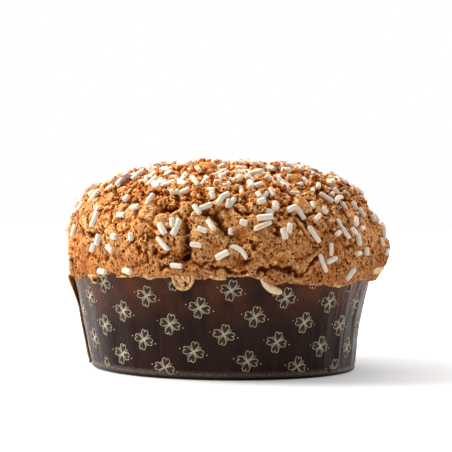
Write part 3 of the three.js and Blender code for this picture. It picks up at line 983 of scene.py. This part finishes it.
# %% The hidden underside, made plain
take_up(crust)
go("EDIT", "DESELECT", "FACE")
go("OBJECT")
middles = read(crust.data.polygons, "center", 3) / MM
hidden = middles[:, 2] < hidden_z + 2.0
crust.data.polygons.foreach_set("select", hidden)
go("EDIT")
bpy.ops.mesh.delete(type="FACE")
bpy.ops.mesh.select_mode(type="EDGE")
bpy.ops.mesh.select_all(action="DESELECT")
bpy.ops.mesh.select_non_manifold(
    extend=False, use_wire=False, use_multi_face=False, use_non_contiguous=False, use_verts=False,
)
bpy.ops.mesh.edge_face_add()
go("OBJECT")
close_up(crust, "glazed_crust", merge=0.001 * MM)
print("crust after the underside", len(crust.data.polygons), "faces")

# %% [markdown]
# Sugar browns least where it stands proud and most in the hollows, and the finish also paints light on the
# ridges and shade in the hollows. How deep each point lies below its neighbourhood is measured once, at two
# scales, and kept on the mesh for the finish to read.

# %% How hollow and how broken each point is
def smoothed(points, edges, rounds):
    a, b = edges
    count = np.bincount(np.concatenate([a, b]), minlength=len(points)).astype(float)
    count = np.maximum(count, 1)
    for _ in range(rounds):
        near = np.stack([
            np.bincount(a, points[b, k], len(points)) + np.bincount(b, points[a, k], len(points))
            for k in range(3)
        ], 1)
        points = near / count[:, None]
    return points


def keep_value(piece, name, values):
    attribute = piece.data.attributes.new(name, "FLOAT", "POINT")
    attribute.data.foreach_set("value", np.asarray(values, np.float32))


crust_points = points_of(crust)
edges = read(crust.data.edges, "vertices", 2, np.int32).T
near_form = smoothed(crust_points, edges, 10)
wide_form = smoothed(near_form, edges, 90)
outward = crust_outward(crust_points)
near_depth = ((near_form - crust_points) * outward).sum(1)
wide_depth = ((wide_form - crust_points) * outward).sum(1)
keep_value(crust, "near_depth", near_depth)
keep_value(crust, "wide_depth", wide_depth)
keep_value(crust, "broken", broken(crust_points))
print("depths", *(np.percentile(depths, [2, 50, 98]).round(2) for depths in (near_depth, wide_depth)))

# %% Fewer faces where the crust is smooth
most_triangles = 196000
thin_out = crust.modifiers.new("fewer_faces", "DECIMATE")
thin_out.ratio = min(1.0, most_triangles / (2.0 * len(crust.data.polygons)))
apply_all(crust)
kept = read(crust.data.attributes["near_depth"].data, "value", kind=np.float32)
print("crust kept", len(crust.data.polygons), "faces and depths", np.percentile(kept, [2, 50, 98]).round(2))

# %% [markdown]
# The glaze is golden where the heat was mild and brown where it was strong. Plates are dotted with pores the
# size of pinheads, painted dark as the shade inside them. Crumbs and ridges are pale, by lighter browning and
# a painted highlight, and dark between, by deeper browning and painted shade. The lower part of the crust is
# painted darker as shade from the light above.

# %% The crust's finish
baked, tree, shader, where = new_finish("baked_crust", Roughness=0.68, Specular_IOR_Level=0.03)
near, wide, crumb = [stored(tree, name) for name in ("near_depth", "wide_depth", "broken")]
patch = placed(tree, grain, where, Size=26.0, Detail=4.0)
speck = placed(tree, grain, where, Size=1.5, Detail=3.0)
cluster = placed(tree, grain, where, Size=9.0, Detail=3.0)
plate = ramp(
    tree, patch, (0.32, (0.40, 0.124, 0.025)), (0.5, (0.61, 0.236, 0.063)), (0.66, (0.82, 0.385, 0.13)),
)
crumbs_tone = ramp(tree, patch, (0.35, (0.58, 0.145, 0.016)), (0.62, (0.86, 0.275, 0.042)))
tone = blend(tree, plate, crumbs_tone, crumb)
# Proud points are paled: lighter browning and a painted highlight.
tone = blend(tree, tone, (0.96, 0.59, 0.28), span(tree, near, 0.0, -0.42, 0.78))
# Hollows are darkened: deeper browning and painted shade.
tone = blend(tree, tone, (0.15, 0.029, 0.0035), span(tree, near, -0.03, 0.30, 0.95))
# Deep, wide hollows and fissures go almost black: darker browning and painted shade.
tone = blend(tree, tone, (0.045, 0.012, 0.004), span(tree, wide, 0.9, 3.0))
holes = 0.0
for spacing, size, thick in ((1.1, 0.46, 0.62), (1.6, 0.50, 0.55), (2.5, 0.42, 0.5), (4.0, 0.32, 0.45)):
    found = placed(tree, pores, where, Spacing=spacing, Size=span(tree, cluster, 0.33, thick, size))
    holes = maths(tree, "MAXIMUM", holes, found)
# Pores are darkened almost to black: painted shade inside the pinholes, which the bump only dents a little.
tone = blend(tree, tone, (0.058, 0.011, 0.002), span(tree, holes, 0.0, 1.0, 0.94))
tone = blend(tree, tone, (0.17, 0.037, 0.005), span(tree, speck, 0.47, 0.33, 0.8))
tone = blend(tree, tone, ramp(tree, speck, (0.3, 0.7), (0.5, 1.0), (0.7, 1.4)), kind="MULTIPLY")
# The crust darkens from about 98 mm down to 66 mm: painted shade where less light from above reaches.
lower_crust_shade = ramp(
    tree, span(tree, height_of(tree, where), 0.066, 0.098), (0.0, (0.77, 0.67, 0.62)), (1.0, (1.0, 1.0, 1.0)),
)
skin = maths(tree, "MULTIPLY_ADD", speck, 0.8, maths(tree, "MULTIPLY", holes, -1.6))
dress(tree, shader, blend(tree, tone, lower_crust_shade, kind="MULTIPLY"), skin, 1.0, 0.7)
crust.data.materials.append(baked)
place(crust, "crust", "bread")

# %% [markdown]
# ## Crumbs
# On top the glaze broke into granules as big as coarse sand, loose and all unlike. Relief alone would melt
# them together. So a ball of few faces is made uneven in many ways and strewn where the crust is crumbly.

# %% Granules
put_down()
bpy.ops.mesh.primitive_ico_sphere_add(subdivisions=2, radius=1)
ball = bpy.context.object
ball_points = points_of(ball) * MM
ball_faces = np.array([tuple(p.vertices) for p in ball.data.polygons])
bpy.data.objects.remove(ball)

crumb_count = 2450
crumb_chance = np.random.default_rng(5)
crust_points = points_of(crust)
weight = read(crust.data.attributes["broken"].data, "value", kind=np.float32)
weight = weight.astype(float) ** 2 * (0.35 + rise_between(95, 125, crust_points[:, 2]))
for path, half, depth in fissure_paths:
    weight += 0.22 * np.exp(-((near_path(crust_points, path) / (half + 2.0)) ** 4))
share = weight / weight.sum()
seats = crust_points[crumb_chance.choice(len(crust_points), crumb_count, replace=False, p=share)]
sizes = 0.75 + 1.0 * crumb_chance.random(crumb_count) ** 2
uneven = ball_points[None] * crumb_chance.uniform(0.7, 1.25, (crumb_count, 1, 3))
own_place = crumb_chance.uniform(0, 500, (crumb_count, 1, 3))
knobs = soft_noise((ball_points[None] * 1.1 + own_place).reshape(-1, 3), 1.0, 51).reshape(crumb_count, -1, 1)
uneven = uneven * (0.72 + 0.56 * knobs) * sizes[:, None, None]
spin = crumb_chance.normal(size=(crumb_count, 3, 3))
spin = np.linalg.qr(spin)[0]
spin[:, :, 0] *= np.sign(np.linalg.det(spin))[:, None]
uneven = np.einsum("nij,nkj->nki", spin, uneven)
crumb_out = crust_outward(seats)
crumb_points = uneven + (seats + crumb_out * sizes[:, None] * 0.25)[:, None]
crumb_rise = np.einsum("nki,ni->nk", uneven, crumb_out) / sizes[:, None]
crumb_faces = (ball_faces[None] + len(ball_points) * np.arange(crumb_count)[:, None, None]).reshape(-1, 3)
crumbs = piece_from("crust_crumbs", crumb_points.reshape(-1, 3), crumb_faces.tolist())
keep_value(crumbs, "rise", crumb_rise.ravel())
keep_value(crumbs, "own", np.repeat(crumb_chance.random(crumb_count), len(ball_points)))
close_up(crumbs, "crust_crumbs", merge=0.0001 * MM)

crumb_finish, tree, shader, where = new_finish("loose_crumbs", Roughness=0.7, Specular_IOR_Level=0.05)
speck = placed(tree, grain, where, Size=0.9, Detail=3.0)
own_tone = ramp(
    tree, stored(tree, "own"),
    (0.0, (0.46, 0.115, 0.013)), (0.6, (0.82, 0.285, 0.045)), (0.9, (0.95, 0.54, 0.20)),
)
# Each granule is dark on its underside and its own tone on top: painted shade by how high each point sits on
# it.
tone = blend(tree, (0.26, 0.052, 0.006), own_tone, span(tree, stored(tree, "rise"), -0.35, 0.65))
tone = blend(tree, tone, ramp(tree, speck, (0.3, 0.55), (0.5, 1.0), (0.7, 1.3)), kind="MULTIPLY")
dress(tree, shader, tone, speck, 0.6, 0.4)
crumbs.data.materials.append(crumb_finish)
place(crumbs, "crust")

# %% [markdown]
# ## Runs of glaze
# In a few places the glaze ran over the rim before it set: an ivory tongue, a lacy golden one and smaller
# ones. Each is a flattened stroke, with its round upper side drawn along a path on the paper.

# %% Strokes of glaze
tree_of_wall = BVHTree.FromObject(mould, bpy.context.evaluated_depsgraph_get())
tree_of_crust = BVHTree.FromObject(crust, bpy.context.evaluated_depsgraph_get())


def seen_at(u, v):
    """The nearest point of the paper or the crust behind a point of the picture, in millimetres."""
    eye, view = sight(u, v)
    hits = [surface.ray_cast(eye, view)[0] for surface in (tree_of_wall, tree_of_crust)]
    hits = [hit for hit in hits if hit is not None]
    return np.array(min(hits, key=lambda hit: (hit - eye).length)) / MM if hits else None


def stroke(path, halves, thick):
    """A flattened tube through points in millimetres, lying on what is behind it."""
    path = np.array(path)
    ahead = np.gradient(path, axis=0)
    ahead /= np.linalg.norm(ahead, axis=1)[:, None]
    out = path * (1, 1, 0) / np.linalg.norm(path[:, :2], axis=1)[:, None]
    across = np.cross(ahead, out)
    across /= np.linalg.norm(across, axis=1)[:, None]
    ring = np.linspace(0, 2 * np.pi, 12, endpoint=False)
    halves = np.array(halves)[:, None, None]
    body = path[:, None] + across[:, None] * np.cos(ring)[None, :, None] * halves
    swell = thick * np.minimum(halves / halves.max() + 0.3, 1)
    body = body + out[:, None] * np.sin(ring)[None, :, None] * swell
    count = len(ring)
    faces = []
    for k in range(len(path) - 1):
        for c in range(count):
            n = (c + 1) % count
            faces.append((k * count + c, k * count + n, (k + 1) * count + n, (k + 1) * count + c))
    faces.append(tuple(range(count)))
    faces.append(tuple(range((len(path) - 1) * count, len(path) * count)))
    return body.reshape(-1, 3), faces


def smooth_path(rows, steps=5):
    """More rows between the given ones, on a smooth curve through them."""
    rows = np.array(rows, float)
    padded = np.vstack([2 * rows[0] - rows[1], rows, 2 * rows[-1] - rows[-2]])
    curve = []
    for a, b, c, d in zip(padded, padded[1:], padded[2:], padded[3:]):
        for t in np.arange(steps) / steps:
            curve.append(b + 0.5 * t * (c - a + t * (2 * a - 5 * b + 4 * c - d + t * (3 * (b - c) + d - a))))
    return np.array(curve + [rows[-1]])


# Each seen run: picture places u, v and the stroke's half width there, then its thickness.
ivory_runs = [(
    [
        (261.5, 279, 1.2), (265, 284, 2.0), (270, 288, 2.6),
        (275, 290.5, 2.7), (279.5, 292, 2.2), (281.5, 292.5, 1.2),
    ],
    1.5,
)]
golden_runs = [
    (
        [
            (172, 276, 1.2), (175, 284, 1.3), (181, 288.5, 1.5),
            (188, 287.5, 1.3), (192, 282, 1.2), (193, 276, 1.2),
        ],
        1.0,
    ),
    ([(177, 276, 1.4), (180, 282, 1.6), (184, 286, 1.2)], 0.9),
    ([(188, 276, 1.2), (188, 283, 1.2)], 0.9),
    ([(178, 279, 0.8), (183, 280.5, 1.0), (187, 279, 0.8)], 0.8),
    ([(182, 276, 1.0), (184, 280, 0.8)], 0.8),
    ([(91, 276, 1.4), (93, 281, 1.4), (97, 283, 0.9)], 1.0),
    ([(209, 276, 1.0), (216, 278, 1.4), (226, 279, 0.8)], 0.9),
    ([(143, 275, 1.0), (149, 277.5, 1.6), (155, 277, 0.8)], 0.9),
    ([(333, 283, 1.0), (338, 286, 1.4), (341, 285, 0.8)], 0.9),
    ([(371.5, 272, 1.2), (375, 271.3, 2.3), (379, 270, 2.4), (382, 268, 1.4)], 1.9),
    ([(88, 275.3, 0.5), (98, 276, 0.9), (107, 276.3, 0.4)], 0.6),
    ([(116, 276.8, 0.4), (126, 276.4, 0.8), (132, 276.6, 0.4)], 0.6),
    ([(144, 277.2, 0.4), (151, 277, 0.9), (161, 277, 0.4)], 0.6),
]

# The azimuth and drop of each run at the back, the ivory one first.
far_runs = [
    (128, 9.0), (131, 6.0), (-152, 8.0), (-147, 5.0),
    (104, 4.0), (-176, 5.0), (157, 4.0), (-121, 6.0),
]


def laid_strokes(name, seen, far=()):
    strokes = []
    for rows, thick in seen:
        curve = smooth_path(rows)
        hits = [seen_at(u, v) for u, v, _ in curve]
        kept = [(hit, half) for hit, half in zip(hits, curve[:, 2]) if hit is not None]
        strokes.append(([hit for hit, _ in kept], [half for _, half in kept], thick))
    for turn, drop in far:
        z = np.linspace(float(lip_z(turn)) + 2.0, float(lip_z(turn)) - drop, 9)
        turns = turn + 1.2 * np.sin(z * 0.9 + turn)
        strokes.append((list(on_wall(turns, z, 0.3)), list(1.9 - 1.3 * np.linspace(0, 1, 9) ** 3), 1.1))
    points, faces = gathered([stroke(*row) for row in strokes])
    lumpy = 0.9 * (soft_noise(points, 1.8, 61) - 0.5)
    out = points * (1, 1, 0) / np.linalg.norm(points[:, :2], axis=1)[:, None]
    made = piece_from(name, points + out * lumpy[:, None], faces)
    return close_up(made, name, merge=0.001 * MM)


ivory = laid_strokes("ivory_run", ivory_runs, far_runs[:1])
golden = laid_strokes("golden_runs", golden_runs, far_runs[1:])
for piece, name, dark, light in (
    (ivory, "ivory_glaze", (0.78, 0.46, 0.20), (0.98, 0.80, 0.52)),
    (golden, "golden_glaze", (0.46, 0.17, 0.035), (0.90, 0.56, 0.22)),
):
    piece.data.materials.append(
        grained(name, 2.0, 4.0, (0.34, dark), (0.58, light), bump=(0.7, 0.6), Roughness=0.45)
    )
place(ivory, "glaze")
place(golden, "glaze")

# %% [markdown]
# ## Sugar nibs
# Pearl sugar is pressed into thin rods and broken, so a nib is a short white rod with blunt ends, some of
# them bent. One rod is modelled, and each copy gets its own length, bend and place on the crust.

# %% One nib
nib_radius = 1.98
put_down()
bpy.ops.mesh.primitive_cylinder_add(
    vertices=10, radius=1.0, depth=2.0, end_fill_type="NGON", rotation=(math.pi / 2, 0, 0),
)
rod = bpy.context.object
bpy.ops.object.transform_apply(location=False, rotation=True, scale=False)
go("EDIT")
for cut in (-0.5, 0.0, 0.5):
    bpy.ops.mesh.select_all(action="SELECT")
    bpy.ops.mesh.bisect(plane_co=(0, cut, 0), plane_no=(0, 1, 0))
bpy.ops.mesh.select_all(action="DESELECT")
edit = bmesh.from_edit_mesh(rod.data)
for edge in edit.edges:
    if all(abs(abs(v.co.y) - 1) < 1e-4 for v in edge.verts):
        edge.select_set(True)
bmesh.update_edit_mesh(rod.data)
bpy.ops.mesh.bevel(offset=0.22, segments=1, affect="EDGES")
go("OBJECT")
rod_points = points_of(rod) * MM
rod_faces = [tuple(p.vertices) for p in rod.data.polygons]
bpy.data.objects.remove(rod)
print("one nib has", len(rod_points), "points and", len(rod_faces), "faces")

# %% Nibs that the photograph shows one by one
tree_of_crust = BVHTree.FromObject(crust, bpy.context.evaluated_depsgraph_get())
chance = np.random.default_rng(71)

# Each nib: its picture place u and v, its lean in degrees from level, its length in millimetres.
seen_nibs = [
    (75, 231, 100, 8), (97.5, 209, 122, 6), (96, 220, 66, 11), (99, 240, 77, 7.5), (93.5, 248, 74, 5.5),
    (111, 249, 125, 6.5), (115, 237, 0, 4.5), (131.5, 237, 90, 5), (122, 215.5, 0, 6.5), (150, 200, 59, 9),
    (135.5, 208, 18, 6), (127, 199, 45, 5), (152, 182, 39, 9.5), (168.5, 184, 16, 9.5), (157, 187, 20, 4.5),
    (195, 181, 130, 9.5), (204, 182.5, 54, 8), (184, 192.5, 27, 8.5), (175, 192.5, 8, 6),
    (197, 210, 127, 7.5), (206, 207, 24, 8.5), (211, 225.5, 125, 8.5), (202.5, 230, 160, 6.5),
    (162.5, 229, 117, 8.5), (172.5, 222.5, 95, 5.5), (177, 227.5, 67, 11.5), (163, 244, 131, 11.5),
    (196, 245, 172, 7.5), (222, 255, 27, 9), (176.5, 265.5, 175, 8), (103, 271.5, 172, 8), (128, 271, 164, 7),
    (71, 262, 112, 8.5), (73, 216, 60, 5), (82, 207, 35, 6.5), (95.5, 197, 30, 11), (110, 189, 0, 7.5),
    (120, 182.5, 53, 7), (112, 181.5, 90, 4.5), (131, 177, 30, 7), (127, 181, 100, 6), (137, 175, 150, 6),
    (152, 167.5, 20, 6), (141, 173, 40, 6), (164, 169.5, 0, 6), (166, 174.5, 15, 8), (176, 166, 10, 6),
    (188, 163.5, 20, 6), (209, 166.5, 10, 9), (221.5, 166.5, 20, 6), (220.5, 178.5, 75, 7), (226, 175, 20, 6),
    (212, 196.5, 100, 5), (220.5, 200.5, 55, 7), (228, 204, 80, 6), (211, 190.5, 170, 5),
    (240.5, 250, 142, 13), (243.5, 223, 160, 5), (230.5, 232, 90, 4.3), (264.5, 218, 3, 10.5),
    (262.5, 226, 24, 12.5), (269, 212, 165, 6), (283.5, 234, 106, 7.5), (289, 228.5, 85, 6.5),
    (291.5, 209, 22, 7.5), (300, 214, 126, 9), (313.5, 234.5, 128, 13), (317, 217.5, 47, 8),
    (324, 211, 115, 4.5), (312, 205.5, 100, 5), (325.7, 198.2, 139, 10.5), (337, 198.5, 42, 9.5),
    (331.5, 194.5, 60, 4.5), (335, 191.5, 120, 5), (345, 194, 0, 5), (343, 207, 125, 5.5),
    (353.5, 206.5, 98, 6.5), (361, 213, 105, 7.5), (355, 222, 90, 6.5), (339, 225, 112, 8),
    (345, 233.5, 118, 8.5), (337.5, 233.5, 35, 6), (353, 231.5, 140, 6), (357.5, 239.5, 93, 8.5),
    (361.5, 228.5, 12, 6.5), (330.5, 249.5, 95, 8.5), (322.5, 263, 109, 13), (331, 260, 28, 8.5),
    (357.5, 253.5, 14, 6), (365.5, 251.5, 95, 5.5), (349.5, 274, 62, 9.5), (383, 233, 115, 9),
    (381, 242, 105, 6), (372, 218.5, 100, 5), (349.5, 188, 130, 8), (318, 186, 90, 5), (306.5, 183, 137, 9),
    (300, 185, 30, 5), (294.5, 194, 165, 6.5), (258.5, 196, 120, 5), (264, 197, 50, 8.5),
    (272, 192.5, 122, 6.5), (261, 202, 15, 5.5), (275, 206.5, 95, 6), (241, 191, 105, 7.5),
    (258.5, 185, 18, 6.5), (231.5, 203.5, 52, 8.5), (225.5, 196, 30, 5.5), (278.5, 178.5, 85, 6.5),
    (284.5, 183.5, 155, 6), (269.5, 179, 160, 6.5), (290, 177.5, 170, 6.5), (315.5, 175, 15, 6),
    (241, 177, 10, 9), (250, 179, 150, 7), (254.5, 173.5, 5, 9), (239, 163.5, 10, 8), (257, 165, 8, 9),
    (248, 162.5, 160, 6), (276, 160.5, 15, 6), (291, 166.5, 165, 7.5), (334, 176, 150, 8), (341, 181, 150, 7),
    (311, 168, 20, 6),
]
camera_right = camera.matrix_basis.to_3x3() @ Vector((1, 0, 0))
camera_up = camera.matrix_basis.to_3x3() @ Vector((0, 1, 0))


def along_picture(lean, outward, view):
    """A direction along the crust that looks, in the picture, turned by a lean from level."""
    a = math.radians(lean)
    wanted = camera_right * math.cos(a) + camera_up * math.sin(a)
    facing = view.dot(outward)
    if abs(facing) > 0.35:
        return (wanted - view * (wanted.dot(outward) / facing)).normalized()
    return (wanted - outward * wanted.dot(outward)).normalized()


nibs_to_lay = []
for u, v, lean, length in seen_nibs:
    for step in range(8):
        eye, view = sight(u + step * 0.6 * (1 if u < axis_px else -1), v + step)
        hit = tree_of_crust.ray_cast(eye, view)[0]
        if hit is not None:
            break
    if hit is None:
        continue
    outward = Vector(crust_outward(np.array([hit]) / MM)[0])
    nibs_to_lay.append((np.array(hit) / MM, outward, along_picture(lean, outward, view), length))
print("nibs laid by the picture", len(nibs_to_lay), "of", len(seen_nibs))

# %% The other nibs, strewn by chance
nib_count, most_tries = 470, 40000
seen_half, seen_below = 78, 127
tries = 0
while len(nibs_to_lay) < nib_count and tries < most_tries:
    tries += 1
    rise = chance.random() ** 0.62
    azimuth = chance.uniform(-180, 180)
    z = widest_z - 6 + (dome_height + 5.6) * min(rise, 0.99999)
    if abs(azimuth) < seen_half and z < seen_below:
        continue
    middle, outward = dome_spot(azimuth, z)
    density = np.clip((z - 72) / 52, 0.2, 1.0)
    room_needed = 3.6 + 5.5 * (1 - density)
    if chance.random() > density:
        continue
    hit = tree_of_crust.ray_cast(middle + outward * 0.03, -outward, 0.08)[0]
    if hit is None:
        continue
    point = np.array(hit) / MM
    if any(np.linalg.norm(point - other[0]) < room_needed for other in nibs_to_lay):
        continue
    side = outward.orthogonal().normalized()
    along = Matrix.Rotation(chance.uniform(0, math.pi), 3, outward) @ side
    length = chance.choice([4.5, 6.5, 8.5, 10.5], p=[0.2, 0.34, 0.3, 0.16]) * chance.uniform(0.9, 1.15)
    nibs_to_lay.append((point, outward, along, length))
print("nibs", len(nibs_to_lay), "after", tries, "tries")


def nib_at(point, outward, along, length, bend, tip, radius):
    """The nib's points, laid on the crust along a direction, tipped and bent a little."""
    along = (along + outward * tip).normalized()
    across = along.cross(outward).normalized()
    up = across.cross(along)
    body = rod_points.copy()
    body[:, 0] *= radius
    body[:, 2] *= radius
    body[:, 1] *= length / 2
    body[:, 0] += bend * (body[:, 1] / 5) ** 2
    return body @ np.array([across, along, up]) + point


# The seen nibs that are clearly bent, with their bend in millimetres.
bends = {(240.5, 250, 142, 13): -1.3, (337, 198.5, 42, 9.5): 1.8}
nib_parts = []
for number, (point, outward, along, length) in enumerate(nibs_to_lay):
    radius = nib_radius * chance.uniform(0.85, 1.12) * (1 - 0.15 * rise_between(45, 60, point[0]))
    bend = chance.choice([0.0, 0.9, -0.9, 1.8], p=[0.5, 0.2, 0.2, 0.1]) * (length > 6)
    if number < len(seen_nibs):
        bend = bends.get(seen_nibs[number], 0.35 * bend)
    tip = chance.uniform(-0.18, 0.18)
    proud = radius * (0.5 - 0.4 * rise_between(116, 132, point[2]))
    nib = nib_at(point + np.array(outward) * proud, outward, along, length, bend, tip, radius)
    nib_parts.append((nib, rod_faces))
nibs = piece_from("sugar_nibs", *gathered(nib_parts))
close_up(nibs, "sugar_nibs", merge=0.001 * MM)
bpy.ops.object.shade_smooth_by_angle(angle=math.radians(55))

sugar, tree, shader, where = new_finish("pearl_sugar", Roughness=0.55)
crystal = placed(tree, grain, where, Size=0.9, Detail=4.0)
stain = placed(tree, grain, where, Size=14.0, Detail=2.0)
white = ramp(tree, crystal, (0.3, (0.80, 0.70, 0.56)), (0.6, (0.95, 0.88, 0.77)))
toasted = ramp(tree, stain, (0.52, (1.0, 1.0, 1.0)), (0.75, (0.96, 0.82, 0.60)))
dress(tree, shader, blend(tree, white, toasted, kind="MULTIPLY"), crystal, 0.5, 0.3)
nibs.data.materials.append(sugar)
place(nibs, "sugar")

# %% [markdown]
# ## Almonds
# Almonds lie half sunk in the glaze. A kernel is a flattened egg with a point at one end and ridges along its
# skin. A ball is pulled into that form and grooved, and then laid where its solid lies.

# %% Almonds
almond_size = (11.5, 18.5, 8.4)
usual_sinking = 2.2
sunk_further = {"almond_right": 3.9, "almond_left": 2.8}
almonds = {
    "almond_left": "almond_skin",
    "almond_top": "almond_glazed",
    "almond_right": "almond_glazed",
    "almond_back": "almond_glazed",
    "almond_back_left": "almond_skin",
}


def almond(name):
    """Shapes a ball to the box of its own solid, turned as that solid is."""
    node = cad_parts[name]
    solid = np.unique(points_of(node).round(4), axis=0)
    middle = solid.mean(0)
    rest_on = middle - crust_outward(np.array([middle]))[0] * sunk_further.get(name, usual_sinking)
    length_axis, width_axis, thick_axis = np.linalg.svd(solid - middle, full_matrices=False)[2]
    put_down()
    bpy.ops.mesh.primitive_uv_sphere_add(segments=48, ring_count=28, radius=1)
    made = bpy.context.object
    ball = points_of(made) * MM
    reach = (solid - middle) @ length_axis
    if abs(reach.max()) < abs(reach.min()):
        length_axis = -length_axis
    y = ball[:, 2]
    taper = 1 - 0.28 * y - 0.12 * y * y
    groove = 1 + 0.018 * np.sin(9 * np.arctan2(ball[:, 1], ball[:, 0]) + 2 * y) * (1 - y * y)
    x = ball[:, 0] * taper * groove * almond_size[0] / 2
    thick = ball[:, 1] * taper * groove * almond_size[2] / 2
    along = y * almond_size[1] / 2
    body = np.outer(x, width_axis) + np.outer(along, length_axis) + np.outer(thick, thick_axis)
    set_points(made, rest_on + body)
    return close_up(made, name + "_kernel")


skin_finish = grained(
    "almond_skin", 2.4, 5.0,
    (0.32, (0.08, 0.016, 0.008)), (0.5, (0.20, 0.052, 0.026)), (0.7, (0.34, 0.12, 0.065)),
    bump=(0.6, 0.5), Roughness=0.5,
)
amber_finish = grained(
    "glazed_almond", 3.2, 4.0,
    (0.3, (0.28, 0.07, 0.012)), (0.5, (0.62, 0.22, 0.035)), (0.7, (0.84, 0.42, 0.10)),
    bump=(0.5, 0.5), Roughness=0.5, Coat_Weight=0.05, Coat_Roughness=0.3, Specular_IOR_Level=0.2,
)
for name, finish in almonds.items():
    kernel = almond(name)
    kernel.data.materials.append(skin_finish if finish == "almond_skin" else amber_finish)
    place(kernel, finish, name)
